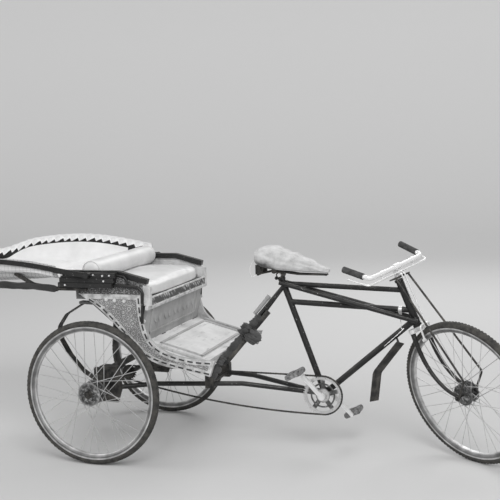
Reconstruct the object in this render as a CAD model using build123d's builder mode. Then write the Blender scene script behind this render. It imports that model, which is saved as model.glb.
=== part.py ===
"""Cycle rickshaw: a tricycle with a bicycle front end, a sprung wooden passenger body
and a hood that is folded back. The handlebar is turned to the right.

Millimetres. X points forward, Y to the left, Z up, and the floor is z = 0.
Places along the vehicle are counted forward from the rear axle with at(x, y, z).
The frame's origin lies on the floor, midway between the hood's rear end and the
foremost point of the turned front tyre.
"""

import os
from math import asin, atan2, cos, degrees, hypot, radians, sin, sqrt

from build123d import *

os.makedirs("parts", exist_ok=True)

# Wheels
TRACK = 941.0
WHEELBASE = 1766.0
TYRE_R = 355.5
TYRE_HALF = 18.0
TREAD_HALF = 6.0
RIM_R = TYRE_R - 26.5
RIM_DEPTH = 25.0
RIM_INNER_R = RIM_R - RIM_DEPTH
RIM_HALF = 16.5
TYRE_BEAD_R = RIM_R - 7.0
TYRE_GAP = 0.3
SPOKES = 36
SPOKE_W = 2.6
REAR_FLANGE_R = 58.0
REAR_FLANGE_HALF = 30.0
FRONT_FLANGE_R = 52.0
FRONT_FLANGE_HALF = 27.0
FLANGE_T = 4.0
BARREL_R = 26.0

# Steering
HEAD_ANGLE = 68.0
FORK_OFFSET = 128.0
STEER_TURN = 34.7
CROWN_CLEARANCE = 10.0
CROWN_LOW = sqrt(TYRE_R**2 - FORK_OFFSET**2) + CROWN_CLEARANCE
CROWN_T = 20.0
SEAT_GAP = 0.2
RUN_FIT = 0.05
HEAD_LOW = CROWN_LOW + CROWN_T + SEAT_GAP
HEAD_LEN = 243.0
HEAD_TOP = HEAD_LOW + HEAD_LEN
HEAD_R = 18.5
CUP_T = 12.0
STEERER_R = 12.7
BLADE_HALF_GAP = TYRE_HALF + 32.0
BLADE_R = 12.0
BLADE_TIP_R = 8.0
FORK_ROD_R = 5.0
FORK_ROD_TOP_HALF = 44.0
FRONT_AXLE_R = 5.0
STEM_LEN = 61.0
BAR_RISE = HEAD_TOP + STEM_LEN
BAR_AHEAD = 20.0
BAR_R = 11.1
BAR_HALF = 174.0
BAR_SWEEP = 124.0
BAR_LIFT = 82.0
GRIP_R = 15.5
GRIP_LEN = 112.0

# Bicycle frame
BB_X = 1047.0
BB_Z = 290.0
BB_R = 21.0
BB_HALF = 34.0
SEAT_ANGLE = 69.9
SEAT_TUBE_R = 15.0
SEAT_TUBE_LEN = 624.0
SEAT_POST_R = 12.7
SADDLE_RISE = 78.0
TOP_TUBE_R = 12.7
MIDDLE_TUBE_R = 14.0
SLANT_TUBE_R = 11.5
DOWN_TUBE_R = 15.0
STAY_R = 9.5

# Chassis
RAIL_R = 12.0
RAIL_Z = 340.0
JOINT_X = 485.0
JOINT_HALF = 122.0
AXLE_R = 12.0
BEARING_Y = TRACK / 2 - 152.5
BEARING_R = 30.0
BEARING_HALF = 20.0
BRACKET_T = 10.0

# Drive
CHAIN_Y = 45.0
CHAIN_PITCH = 12.7
RING_TEETH = 48
SPROCKET_TEETH = 18
CRANK_LEN = 170.0
CRANK_TURN = 133.0
SPINDLE_R = 8.5
ARM_IN = 68.0
ARM_T = 14.0

# Passenger body
BODY_HALF = 380.0
PANEL_T = 18.0
INNER_HALF = BODY_HALF - PANEL_T - SEAT_GAP
BORDER_T = 3.0
SEAT_TOP_Z = 812.0
PANEL_TOP_Z = 828.0
WING_TOP_Z = 915.0
RISER_TOP_X = 270.0
RISER_LOW_X = 236.0
RISER_LOW_Z = 590.0
FLOOR_END_X = 552.0
FLOOR_END_Z = 504.0
BOARD_T = 14.0
CUSHION_T = 66.0
ROLL_R = 54.0

# Hood
PIVOT_X = -20.0
PIVOT_Z = WING_TOP_Z + 10.0
PIN_R = 8.0
HOOD_BACK = 1150.0
BOW_T = 5.0
BOW_H = 24.0
BOW_STEP = 9.0
BOW_BACK_STEP = 34.0
BLOCK_OUT = BODY_HALF + 32.0

# Unit vectors of the steering, turned with the handlebar: up the head, ahead and left
HEAD_UP = Vector(-cos(radians(HEAD_ANGLE)), 0, sin(radians(HEAD_ANGLE)))
_ahead = Vector(sin(radians(HEAD_ANGLE)), 0, cos(radians(HEAD_ANGLE)))
_turn = -radians(STEER_TURN)
AHEAD = _ahead * cos(_turn) + Vector(0, 1, 0) * sin(_turn)
LEFT = Vector(0, 1, 0) * cos(_turn) - _ahead * sin(_turn)

# The turned front wheel leans, and its tread's shoulder stands on the floor
TILT = asin(LEFT.Z)
HUB_Z = TYRE_R * cos(TILT) + TREAD_HALF * sin(TILT)
AXIS_X = WHEELBASE - FORK_OFFSET * sin(radians(HEAD_ANGLE))
AXIS_Z = HUB_Z - FORK_OFFSET * AHEAD.Z
TIP_X = AXIS_X + FORK_OFFSET * AHEAD.X + TYRE_R * sqrt(1 - LEFT.X**2) + TREAD_HALF * LEFT.X
AXLE_X = (HOOD_BACK - TIP_X) / 2


def at(x, y, z):
    """A point counted forward from the rear axle, left of the middle and up from the floor."""
    return Vector(AXLE_X + x, y, z)


def steered(up, ahead, left=0.0):
    """A point of the turned steering, counted from the foot of its axis."""
    return at(AXIS_X, 0, AXIS_Z) + HEAD_UP * up + AHEAD * ahead + LEFT * left


def seat_line(length):
    """A point on the seat tube's centre line, counted up from the crank axis."""
    return at(BB_X - length * cos(radians(SEAT_ANGLE)), 0, BB_Z + length * sin(radians(SEAT_ANGLE)))


def rod(start, end, radius, mode=Mode.ADD):
    """A straight round rod in the open part."""
    with BuildSketch(Plane(origin=start, z_dir=end - start)) as section:
        Circle(radius)
    extrude(section.sketch, amount=(end - start).length, mode=mode)


def bent_rod(points, radius, bend, mode=Mode.ADD):
    """A round rod through the points with rounded bends in the open part."""
    with BuildLine() as route:
        FilletPolyline(*points, radius=bend)
    with BuildSketch(Plane(origin=route.line @ 0, z_dir=route.line % 0)) as section:
        Circle(radius)
    sweep(section.sketch, path=route.line, mode=mode)


def bent_strip(points, width, thickness, bend, across=(0, 1, 0)):
    """A flat strip through the points with its width along the given direction."""
    with BuildLine() as route:
        FilletPolyline(*points, radius=bend)
    section_plane = Plane(origin=route.line @ 0, x_dir=across, z_dir=route.line % 0)
    with BuildSketch(section_plane) as section:
        Rectangle(width, thickness)
    sweep(section.sketch, path=route.line)


def save(part, name):
    """Label one finished piece and write it as its own STEP file."""
    part.label = name
    export_step(part, f"parts/{name}.step")


# Wheels: profiles run radius by half-width, turned about the hub's axis


def ring(hub, axle, outline):
    """Revolve an outline of (radius, side) points about the hub's axis."""
    radial = Plane(origin=hub, z_dir=axle).x_dir
    with BuildSketch(Plane(origin=hub, x_dir=radial, z_dir=radial.cross(axle))) as section:
        with BuildLine():
            Polyline(*outline, close=True)
        make_face()
    revolve(section.sketch, axis=Axis(hub, axle))


def wheel(hub, axle, flange_r, flange_half, name):
    """A laced wheel: the tyre is one piece, and the rim, spokes and hub are another."""
    with BuildPart() as tyre:
        bead = RIM_HALF - 5
        ring(
            hub,
            axle,
            [
                (TYRE_BEAD_R, -bead),
                (TYRE_BEAD_R, bead),
                (RIM_R + 6, TYRE_HALF),
                (TYRE_R - 10, TYRE_HALF - 3),
                (TYRE_R, TREAD_HALF),
                (TYRE_R, -TREAD_HALF),
                (TYRE_R - 10, 3 - TYRE_HALF),
                (RIM_R + 6, -TYRE_HALF),
            ],
        )
    save(tyre.part, f"{name}_tyre")

    with BuildPart() as laced:
        well_r = TYRE_BEAD_R - TYRE_GAP
        well = RIM_HALF - 5
        ring(
            hub,
            axle,
            [
                (RIM_R, RIM_HALF),
                (RIM_INNER_R + 12, RIM_HALF - 1),
                (RIM_INNER_R, 7),
                (RIM_INNER_R, -7),
                (RIM_INNER_R + 12, 1 - RIM_HALF),
                (RIM_R, -RIM_HALF),
                (well_r, -well),
                (well_r, well),
            ],
        )
        face = flange_half - FLANGE_T
        ring(
            hub,
            axle,
            [
                (AXLE_FIT_R[name], -flange_half),
                (flange_r, -flange_half),
                (flange_r, -face),
                (BARREL_R, -face),
                (BARREL_R, face),
                (flange_r, face),
                (flange_r, flange_half),
                (AXLE_FIT_R[name], flange_half),
            ],
        )
        spoke_planes = []
        lacing_r = flange_r - 5
        frame = Plane(origin=hub, z_dir=axle)
        for index in range(SPOKES):
            side = 1 if index % 2 else -1
            lead = 1 if index % 4 < 2 else -1
            rim_angle = 360 / SPOKES * (index + 0.5)
            hub_angle = radians(rim_angle + lead * 62)
            rim_angle = radians(rim_angle)
            foot = frame.from_local_coords(
                (lacing_r * cos(hub_angle), lacing_r * sin(hub_angle), side * (flange_half - FLANGE_T / 2))
            )
            tip_r = RIM_INNER_R + 2
            tip = frame.from_local_coords((tip_r * cos(rim_angle), tip_r * sin(rim_angle), 0))
            spoke_planes.append(Plane(origin=foot, z_dir=tip - foot))
            spoke_len = (tip - foot).length
        with BuildSketch(*spoke_planes) as spoke_sections:
            Rectangle(SPOKE_W, SPOKE_W)
        extrude(spoke_sections.sketch, amount=spoke_len)
    save(laced.part, f"{name}_wheel")


REAR_LEFT_HUB = at(0, TRACK / 2, TYRE_R)
REAR_RIGHT_HUB = at(0, -TRACK / 2, TYRE_R)
FRONT_HUB = steered(0, FORK_OFFSET)
ACROSS = Vector(0, 1, 0)
AXLE_FIT_R = {
    "rear_left": AXLE_R + RUN_FIT,
    "rear_right": AXLE_R + RUN_FIT,
    "front": FRONT_AXLE_R + RUN_FIT,
}
wheel(REAR_LEFT_HUB, ACROSS, REAR_FLANGE_R, REAR_FLANGE_HALF, "rear_left")
wheel(REAR_RIGHT_HUB, ACROSS, REAR_FLANGE_R, REAR_FLANGE_HALF, "rear_right")
wheel(FRONT_HUB, LEFT, FRONT_FLANGE_R, FRONT_FLANGE_HALF, "front")

# Rear axle with the driven sprocket


def toothed_disc(centre, teeth, thickness):
    """A sprocket on the Y axis with one pointed tooth for each chain roller."""
    pitch_r = CHAIN_PITCH / 2 / sin(radians(180 / teeth))
    root_r = pitch_r - 4.0
    tip_r = pitch_r + 3.4
    outline = []
    for tooth in range(teeth):
        for share, radius in ((-0.30, root_r), (-0.10, tip_r), (0.10, tip_r), (0.30, root_r)):
            angle = radians(360 / teeth * (tooth + share))
            outline.append((radius * cos(angle), radius * sin(angle)))
    with BuildSketch(Plane(origin=centre, x_dir=(1, 0, 0), z_dir=(0, -1, 0))) as section:
        with BuildLine():
            Polyline(*outline, close=True)
        make_face()
    extrude(section.sketch, amount=thickness / 2, both=True)


AXLE_END = TRACK / 2 + REAR_FLANGE_HALF + 24
with BuildPart() as rear_axle:
    rod(at(0, -AXLE_END, TYRE_R), at(0, AXLE_END, TYRE_R), AXLE_R)
    rod(at(0, -CHAIN_Y - 16, TYRE_R), at(0, -CHAIN_Y + 30, TYRE_R), 24)
    toothed_disc(at(0, -CHAIN_Y, TYRE_R), SPROCKET_TEETH, 2.9)
    for side in (-1, 1):
        nut = at(0, side * (TRACK / 2 + REAR_FLANGE_HALF + 0.3), TYRE_R)
        rod(nut, nut + Vector(0, side * 12, 0), 19)
save(rear_axle.part, "rear_axle")

# Cranks, chainring and pedals
CRANK = at(BB_X, 0, BB_Z)
ARM_DIR = Vector(cos(radians(CRANK_TURN)), 0, sin(radians(CRANK_TURN)))
ARM_W = 23.0
ARM_TIP_W = 17.0
with BuildPart() as crank_arms:
    rod(CRANK - Vector(0, ARM_IN + ARM_T, 0), CRANK + Vector(0, ARM_IN + ARM_T, 0), SPINDLE_R)
    for side in (-1, 1):
        boss = CRANK + Vector(0, side * ARM_IN, 0)
        rod(boss, boss + Vector(0, side * ARM_T, 0), 17)
        with BuildSketch(Plane(origin=boss, x_dir=-ARM_DIR * side, z_dir=(0, side, 0))) as arm:
            with BuildLine():
                Polyline(
                    (0, -ARM_W / 2),
                    (CRANK_LEN, -ARM_TIP_W / 2),
                    (CRANK_LEN, ARM_TIP_W / 2),
                    (0, ARM_W / 2),
                    close=True,
                )
            make_face()
            with Locations((CRANK_LEN, 0)):
                Circle(ARM_TIP_W / 2 + 1)
        extrude(arm.sketch, amount=ARM_T)
save(crank_arms.part, "crank_arms")

# The chainring has five arms between its toothed rim and the inner disc
RING_T = 2.9
RING_WINDOWS = 5
WINDOW_IN_R = 36.0
WINDOW_OUT_R = 80.0
with BuildPart() as chainring:
    toothed_disc(CRANK - Vector(0, CHAIN_Y, 0), RING_TEETH, RING_T)
    ring_plane = Plane(origin=CRANK - Vector(0, CHAIN_Y, 0), x_dir=(1, 0, 0), z_dir=(0, -1, 0))
    with BuildSketch(ring_plane) as windows:
        Circle(WINDOW_OUT_R)
        Circle(WINDOW_IN_R, mode=Mode.SUBTRACT)
        with PolarLocations(0, RING_WINDOWS, 18):
            with Locations(((WINDOW_IN_R + WINDOW_OUT_R) / 2, 0)):
                Rectangle(WINDOW_OUT_R - WINDOW_IN_R + 8, 22, mode=Mode.SUBTRACT)
    extrude(windows.sketch, amount=RING_T, both=True, mode=Mode.SUBTRACT)
    with BuildSketch(ring_plane) as middle_band:
        Circle(62)
        Circle(54, mode=Mode.SUBTRACT)
    extrude(middle_band.sketch, amount=RING_T / 2, both=True)
    rod(CRANK - Vector(0, CHAIN_Y - RING_T / 2, 0), CRANK - Vector(0, ARM_IN - SEAT_GAP, 0), 20)
    rod(CRANK - Vector(0, CHAIN_Y - 5, 0), CRANK - Vector(0, ARM_IN, 0), SPINDLE_R + RUN_FIT, Mode.SUBTRACT)
save(chainring.part, "chainring")

PEDAL_HALF = 44.0
PEDAL_GAP = 6.0
PEDAL_TILT = 25.0
for side, name in ((-1, "pedal_right"), (1, "pedal_left")):
    eye = CRANK - ARM_DIR * (side * CRANK_LEN) + Vector(0, side * (ARM_IN + ARM_T), 0)
    middle = eye + Vector(0, side * (PEDAL_GAP + PEDAL_HALF), 0)
    flat = (cos(radians(PEDAL_TILT)), 0, sin(radians(PEDAL_TILT)))
    block = Plane(origin=middle, x_dir=flat, z_dir=(0, side, 0))
    with BuildPart() as pedal:
        for offset_x in (-26, 26):
            with BuildSketch(block) as tread:
                with Locations((offset_x, 0)):
                    RectangleRounded(30, 26, 6)
            extrude(tread.sketch, amount=PEDAL_HALF, both=True)
        for end in (-PEDAL_HALF - 3, PEDAL_HALF):
            with BuildSketch(block.offset(end)) as plate:
                RectangleRounded(84, 22, 8)
            extrude(plate.sketch, amount=3)
        rod(eye + Vector(0, side * 0.3, 0), middle + Vector(0, side * PEDAL_HALF, 0), 6)
    save(pedal.part, name)

# Chain: two side bands round the sprocket and the chainring, sagging below
RING_R = CHAIN_PITCH / 2 / sin(radians(180 / RING_TEETH))
SPROCKET_R = CHAIN_PITCH / 2 / sin(radians(180 / SPROCKET_TEETH))
CHAIN_H = 9.0
CHAIN_GAP = 3.3
CHAIN_SAG = 32.0


def chain_outline(grow):
    """The chain's loop in side view, moved outwards by grow."""
    small = Vector(AXLE_X, TYRE_R)
    large = Vector(AXLE_X + BB_X, BB_Z)
    span = (large - small).length
    slope = degrees(atan2(large.Y - small.Y, large.X - small.X))
    lean = degrees(asin((RING_R - SPROCKET_R) / span))
    up = radians(slope + 90 + lean)
    down = radians(slope - 90 - lean)
    small_r = SPROCKET_R + grow
    large_r = RING_R + grow
    top = [small + Vector(cos(up), sin(up)) * small_r, large + Vector(cos(up), sin(up)) * large_r]
    low = [small + Vector(cos(down), sin(down)) * small_r, large + Vector(cos(down), sin(down)) * large_r]
    sag = (low[0] + low[1]) / 2 - Vector(0, CHAIN_SAG)
    along = Vector(cos(radians(slope)), sin(radians(slope)))
    Line(top[0], top[1])
    ThreePointArc(low[0], sag, low[1])
    ThreePointArc(top[0], small - along * small_r, low[0])
    ThreePointArc(top[1], large + along * large_r, low[1])


with BuildPart() as chain:
    for side in (-1, 1):
        band_y = -CHAIN_Y + side * (CHAIN_GAP / 2 + 0.6)
        with BuildSketch(Plane(origin=(0, band_y, 0), x_dir=(1, 0, 0), z_dir=(0, -1, 0))) as links:
            with BuildLine():
                chain_outline(CHAIN_H / 2)
            make_face()
            with BuildLine():
                chain_outline(-CHAIN_H / 2)
            make_face(mode=Mode.SUBTRACT)
        extrude(links.sketch, amount=0.6, both=True)
save(chain.part, "chain")

# Bicycle frame: tubes coped to each other with a hair's gap. Places along the head and
# the seat tube are counted up from their lower ends.
TOP_AT_HEAD = HEAD_TOP - 56.0
MIDDLE_AT_HEAD = HEAD_LOW + 83.0
DOWN_AT_HEAD = HEAD_LOW + 36.0
SLANT_AT_HEAD = HEAD_LOW + 30.0
TOP_AT_SEAT = SEAT_TUBE_LEN - 39.0
MIDDLE_AT_SEAT = SEAT_TUBE_LEN - 136.0
SLANT_AT_SEAT = SEAT_TUBE_LEN - 31.0
STAY_AT_SEAT = SEAT_TUBE_LEN - 49.0
COLLAR_T = 20.0


def head_point(up):
    """A point on the steering axis, counted up from its foot."""
    return at(AXIS_X, 0, AXIS_Z) + HEAD_UP * up


def head_cope():
    """Cut the open part back from the head tube."""
    rod(head_point(HEAD_LOW - 30), head_point(HEAD_TOP + 30), HEAD_R + SEAT_GAP, Mode.SUBTRACT)


def seat_cope():
    """Cut the open part back from the seat tube."""
    rod(seat_line(0), seat_line(SEAT_TUBE_LEN), SEAT_TUBE_R + SEAT_GAP, Mode.SUBTRACT)


def shell_cope():
    """Cut the open part back from the crank's shell."""
    rod(CRANK - Vector(0, 60, 0), CRANK + Vector(0, 60, 0), BB_R + SEAT_GAP, Mode.SUBTRACT)


with BuildPart() as head_tube:
    rod(head_point(HEAD_LOW), head_point(HEAD_TOP), HEAD_R)
    for cup in (HEAD_LOW, HEAD_TOP - CUP_T):
        rod(head_point(cup), head_point(cup + CUP_T), HEAD_R + 4)
    rod(head_point(HEAD_LOW - 1), head_point(HEAD_TOP + 1), STEERER_R + RUN_FIT, Mode.SUBTRACT)
save(head_tube.part, "head_tube")

with BuildPart() as seat_tube:
    rod(seat_line(0), seat_line(SEAT_TUBE_LEN), SEAT_TUBE_R)
    rod(seat_line(SEAT_TUBE_LEN - COLLAR_T), seat_line(SEAT_TUBE_LEN), SEAT_TUBE_R + 4)
    clamp_bolt = seat_line(SEAT_TUBE_LEN - COLLAR_T / 2) - Vector(SEAT_TUBE_R + 9, 0, 0)
    rod(clamp_bolt - Vector(0, 20, 0), clamp_bolt + Vector(0, 20, 0), 6)
    rod(clamp_bolt - Vector(0, 9, 0), clamp_bolt + Vector(0, 9, 0), 9)
    rod(CRANK - Vector(0, BB_HALF, 0), CRANK + Vector(0, BB_HALF, 0), BB_R)
    for end in (-BB_HALF, BB_HALF - 8):
        rod(CRANK + Vector(0, end, 0), CRANK + Vector(0, end + 8, 0), BB_R + 2.5)
    bore_end = Vector(0, BB_HALF + 1, 0)
    rod(CRANK - bore_end, CRANK + bore_end, SPINDLE_R + RUN_FIT, Mode.SUBTRACT)
save(seat_tube.part, "seat_tube")

with BuildPart() as top_tube:
    rod(seat_line(TOP_AT_SEAT), head_point(TOP_AT_HEAD), TOP_TUBE_R)
    head_cope()
    seat_cope()
save(top_tube.part, "top_tube")

with BuildPart() as middle_tube:
    rod(seat_line(MIDDLE_AT_SEAT), head_point(MIDDLE_AT_HEAD), MIDDLE_TUBE_R)
    head_cope()
    seat_cope()
save(middle_tube.part, "middle_tube")

with BuildPart() as down_tube:
    rod(CRANK, head_point(DOWN_AT_HEAD), DOWN_TUBE_R)
    head_cope()
    shell_cope()
    seat_cope()
save(down_tube.part, "down_tube")

SLANT_SEAT_HALF = SEAT_TUBE_R + SLANT_TUBE_R + SEAT_GAP
SLANT_HEAD_HALF = HEAD_R + 4 + SLANT_TUBE_R + SEAT_GAP
with BuildPart() as slant_tubes:
    for side in (-1, 1):
        rear = seat_line(SLANT_AT_SEAT) + Vector(-12, side * SLANT_SEAT_HALF, 0)
        front = head_point(SLANT_AT_HEAD) + Vector(12, side * SLANT_HEAD_HALF, 0)
        rod(rear, front, SLANT_TUBE_R)
save(slant_tubes.part, "slant_tubes")

BLOCK_TOP = RAIL_Z + 52.0
with BuildPart() as seat_stays:
    for side in (-1, 1):
        foot = at(JOINT_X + 8, side * (JOINT_HALF - 1), BLOCK_TOP + 6.5)
        rod(seat_line(STAY_AT_SEAT) + Vector(0, side * 7, 0), foot, STAY_R)
    seat_cope()
save(seat_stays.part, "seat_stays")

# Chassis: two rails run back from the crank's shell to the axle's bearings
RAIL_ROUTE = (
    # forward, half width, height
    (BB_X, 18.0, BB_Z + 4),
    (BB_X - 110, 24.0, BB_Z + 12),
    (645.0, 88.0, RAIL_Z),
    (210.0, 182.0, RAIL_Z),
    (30.0, BEARING_Y - 20, RAIL_Z),
)
RAIL_BEND = 60.0
with BuildPart() as chassis_rails:
    for side in (-1, 1):
        bent_rod([at(x, side * y, z) for x, y, z in RAIL_ROUTE], RAIL_R, RAIL_BEND)
    shell_cope()
    rod(CRANK - Vector(0, BB_HALF, 0), CRANK + Vector(0, BB_HALF, 0), BB_R + 2.5 + SEAT_GAP, Mode.SUBTRACT)
    seat_cope()
save(chassis_rails.part, "chassis_rails")

BLOCK_W = 44.0
BLOCK_DEPTH = 40.0
BLOCK_LOW = RAIL_Z - 20.0
BEARER_Z = 477.0
BEARER_H = 28.0
BEARER_W = 30.0
POST_T = 14.0
with BuildPart() as joint_blocks:
    for side in (-1, 1):
        low = Plane(origin=at(JOINT_X, side * JOINT_HALF, BLOCK_LOW))
        with BuildSketch(low) as block:
            RectangleRounded(BLOCK_W, BLOCK_DEPTH, 6)
        extrude(block.sketch, amount=BLOCK_TOP - BLOCK_LOW)
        post_base = Plane(origin=at(JOINT_X - BLOCK_W / 2 + POST_T / 2, side * JOINT_HALF, BLOCK_LOW))
        with BuildSketch(post_base) as post:
            Rectangle(POST_T, BLOCK_DEPTH)
        extrude(post.sketch, amount=BEARER_Z - BLOCK_LOW)
        rail = [at(x, side * y, z) for x, y, z in RAIL_ROUTE]
        bent_rod(rail, RAIL_R + SEAT_GAP, RAIL_BEND, Mode.SUBTRACT)
    bearer_end = at(JOINT_X - BLOCK_W / 2 + BEARER_W / 2, 0, BEARER_Z + BEARER_H / 2)
    with BuildSketch(Plane(origin=bearer_end, x_dir=(1, 0, 0), z_dir=(0, 1, 0))) as section:
        Rectangle(BEARER_W, BEARER_H)
    extrude(section.sketch, amount=BODY_HALF - 50, both=True)
save(joint_blocks.part, "joint_blocks")

BEAM_Z = 428.0
BEAM_H = 26.0
with BuildPart() as chassis_ties:
    tie_end = JOINT_HALF - BLOCK_DEPTH / 2 - SEAT_GAP
    rod(at(JOINT_X, -tie_end, RAIL_Z), at(JOINT_X, tie_end, RAIL_Z), 10)
    with BuildSketch(Plane(origin=at(0, 0, BEAM_Z), x_dir=(1, 0, 0), z_dir=(0, 1, 0))) as beam:
        Rectangle(BEAM_H, BEAM_H)
    extrude(beam.sketch, amount=BEARING_Y - BRACKET_T / 2 - SEAT_GAP, both=True)
save(chassis_ties.part, "chassis_ties")

# Each axle bracket is a plate with a bearing housing, a shelf for the strap and a seat for the spring
SPRING_Y = BEARING_Y - 28.0
SHELF_Z = 446.0
SHELF_T = 6.0
BRACKET_OUTLINE = ((-62, SHELF_Z), (78, SHELF_Z), (90, 345), (66, 272), (-30, 272), (-62, 345))
with BuildPart() as axle_brackets:
    for side in (-1, 1):
        face = Plane(origin=(0, side * BEARING_Y, 0), x_dir=(1, 0, 0), z_dir=(0, -1, 0))
        with BuildSketch(face) as plate:
            with BuildLine():
                Polyline(*[(AXLE_X + x, z) for x, z in BRACKET_OUTLINE], close=True)
            make_face()
        extrude(plate.sketch, amount=BRACKET_T / 2, both=True)
        with BuildSketch(Plane(origin=at(30, side * (BEARING_Y - 23), SHELF_Z))) as shelf:
            Rectangle(120, 56)
        extrude(shelf.sketch, amount=SHELF_T)
        with BuildSketch(Plane(origin=at(-62, side * (BEARING_Y - 23), SHELF_Z - 100))) as spring_seat:
            Rectangle(14, 56)
        extrude(spring_seat.sketch, amount=50)
        inner = at(0, side * (BEARING_Y - BEARING_HALF), TYRE_R)
        outer = at(0, side * (BEARING_Y + BEARING_HALF), TYRE_R)
        rod(inner, outer, BEARING_R)
        rod(inner - Vector(0, side * 10, 0), outer + Vector(0, side * 10, 0), AXLE_R + RUN_FIT, Mode.SUBTRACT)
        bent_rod([at(x, side * y, z) for x, y, z in RAIL_ROUTE], RAIL_R + SEAT_GAP, RAIL_BEND, Mode.SUBTRACT)
save(axle_brackets.part, "axle_brackets")

# Springs: a C-shaped leaf behind and a strap in front on each side
LEAF_W = 38.0
LEAF_T = 6.0
SPRING_ROUTE = ((-124, 760), (-215, 706), (-262, 640), (-252, 575), (-205, 495), (-140, 420), (-71.5, 378))
with BuildPart() as c_springs:
    for side in (-1, 1):
        bent_strip([at(x, side * SPRING_Y, z) for x, z in SPRING_ROUTE], LEAF_W, LEAF_T, 45)
save(c_springs.part, "c_springs")

STRAP_ROUTE = ((55, 682.4), (44, 600), (52, 520), (72, SHELF_Z + SHELF_T + 1.2))
with BuildPart() as spring_straps:
    for side in (-1, 1):
        bent_strip([at(x, side * SPRING_Y, z) for x, z in STRAP_ROUTE], LEAF_W, LEAF_T, 60)
save(spring_straps.part, "spring_straps")

# Runners: one under the seat box on each side, held by the springs, and one under the floor
RUNNER_W = 40.0
RUNNER_T = 12.0
RUNNER_ROUTE = ((-134, 769.4), (-34, 766.4), (150, 615.4))
with BuildPart() as body_runners:
    for side in (-1, 1):
        bent_strip([at(x, side * SPRING_Y, z) for x, z in RUNNER_ROUTE], RUNNER_W, RUNNER_T, 30)
save(body_runners.part, "body_runners")

# Body: each side panel has a swooping front edge and a raised border
PANEL_EDGES = {
    # rear edge down to the front end, then the front edge back up
    "outer": (
        ((-60, 806), (20, 752), (111, 664), (200, 572), (268, 515), (395, 476), (582, 442)),
        ((608, 518), (480, 524), (352, 556), (284, 606), (250, 690), (241, 760), (238, PANEL_TOP_Z)),
    ),
    "inner": (
        ((-30, 804), (37, 769), (128, 681), (216, 590), (278, 538), (400, 500), (570, 469)),
        ((579, 495), (474, 500), (341, 534), (263, 594), (226, 687), (217, 760), (215, 804)),
    ),
}


def panel_outline(name):
    """One closed outline of the side panel's face in side view."""
    rear, front = PANEL_EDGES[name]
    Spline(*[(AXLE_X + x, z) for x, z in rear])
    Line((AXLE_X + rear[-1][0], rear[-1][1]), (AXLE_X + front[0][0], front[0][1]))
    Spline(*[(AXLE_X + x, z) for x, z in front])
    if name == "outer":
        Polyline((AXLE_X + front[-1][0], front[-1][1]), (AXLE_X - 95, PANEL_TOP_Z), (AXLE_X - 60, 806))
    else:
        Line((AXLE_X + front[-1][0], front[-1][1]), (AXLE_X + rear[0][0], rear[0][1]))


for side, name in ((-1, "side_panel_right"), (1, "side_panel_left")):
    with BuildPart() as side_panel:
        middle = Plane(origin=(0, side * (BODY_HALF - PANEL_T / 2), 0), x_dir=(1, 0, 0), z_dir=(0, -1, 0))
        with BuildSketch(middle) as face:
            with BuildLine():
                panel_outline("outer")
            make_face()
        extrude(face.sketch, amount=PANEL_T / 2, both=True)
        outside = Plane(origin=(0, side * (BODY_HALF + BORDER_T / 2), 0), x_dir=(1, 0, 0), z_dir=(0, -1, 0))
        with BuildSketch(outside) as border:
            with BuildLine():
                panel_outline("outer")
            make_face()
            with BuildLine():
                panel_outline("inner")
            make_face(mode=Mode.SUBTRACT)
        extrude(border.sketch, amount=BORDER_T / 2, both=True)
    save(side_panel.part, name)


def board(start, end, thickness, name):
    """A flat board across the body between two points of its side view, below the line."""
    along = at(end[0], 0, end[1]) - at(start[0], 0, start[1])
    side_plane = Plane(origin=at(start[0], 0, start[1]), x_dir=along, z_dir=(0, -1, 0))
    with BuildPart() as plank:
        with BuildSketch(side_plane) as section:
            with Locations((along.length / 2, -thickness / 2)):
                Rectangle(along.length, thickness)
        extrude(section.sketch, amount=INNER_HALF, both=True)
    save(plank.part, name)


board((RISER_TOP_X, SEAT_TOP_Z - BOARD_T - 2.6), (RISER_LOW_X, RISER_LOW_Z), BOARD_T, "seat_riser")
board((RISER_LOW_X + 4, RISER_LOW_Z - 2), (FLOOR_END_X, FLOOR_END_Z), BOARD_T, "floor_board")
board((FLOOR_END_X - 40, FLOOR_END_Z - 52), (FLOOR_END_X - 12, FLOOR_END_Z - 12.5), 8, "toe_board")
board((-30, 790), (RISER_LOW_X - 26, RISER_LOW_Z + 3), BOARD_T, "seat_box_bottom")
board((-100.7, SEAT_TOP_Z), (RISER_TOP_X + 8, SEAT_TOP_Z), BOARD_T, "seat_plank")

# The floor has a raised panel, set in from its edges, and a sloping front board
FLOOR_LEN = hypot(FLOOR_END_X - RISER_LOW_X - 4, RISER_LOW_Z - 2 - FLOOR_END_Z)
FLOOR_DIR = (at(FLOOR_END_X, 0, FLOOR_END_Z) - at(RISER_LOW_X + 4, 0, RISER_LOW_Z - 2)).normalized()
FLOOR_UP = Vector(-FLOOR_DIR.Z, 0, FLOOR_DIR.X)
FLOOR_INSET = 62.0
PANEL_RISE = 6.0
with BuildPart() as floor_panel:
    middle = at(RISER_LOW_X + 4, 0, RISER_LOW_Z - 2) + FLOOR_DIR * (FLOOR_LEN / 2 + 8) + FLOOR_UP * SEAT_GAP
    with BuildSketch(Plane(origin=middle, x_dir=FLOOR_DIR, z_dir=FLOOR_UP)) as raised:
        Rectangle(FLOOR_LEN - 1.5 * FLOOR_INSET, 2 * (INNER_HALF - FLOOR_INSET))
    extrude(raised.sketch, amount=PANEL_RISE)
save(floor_panel.part, "floor_panel")

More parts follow.
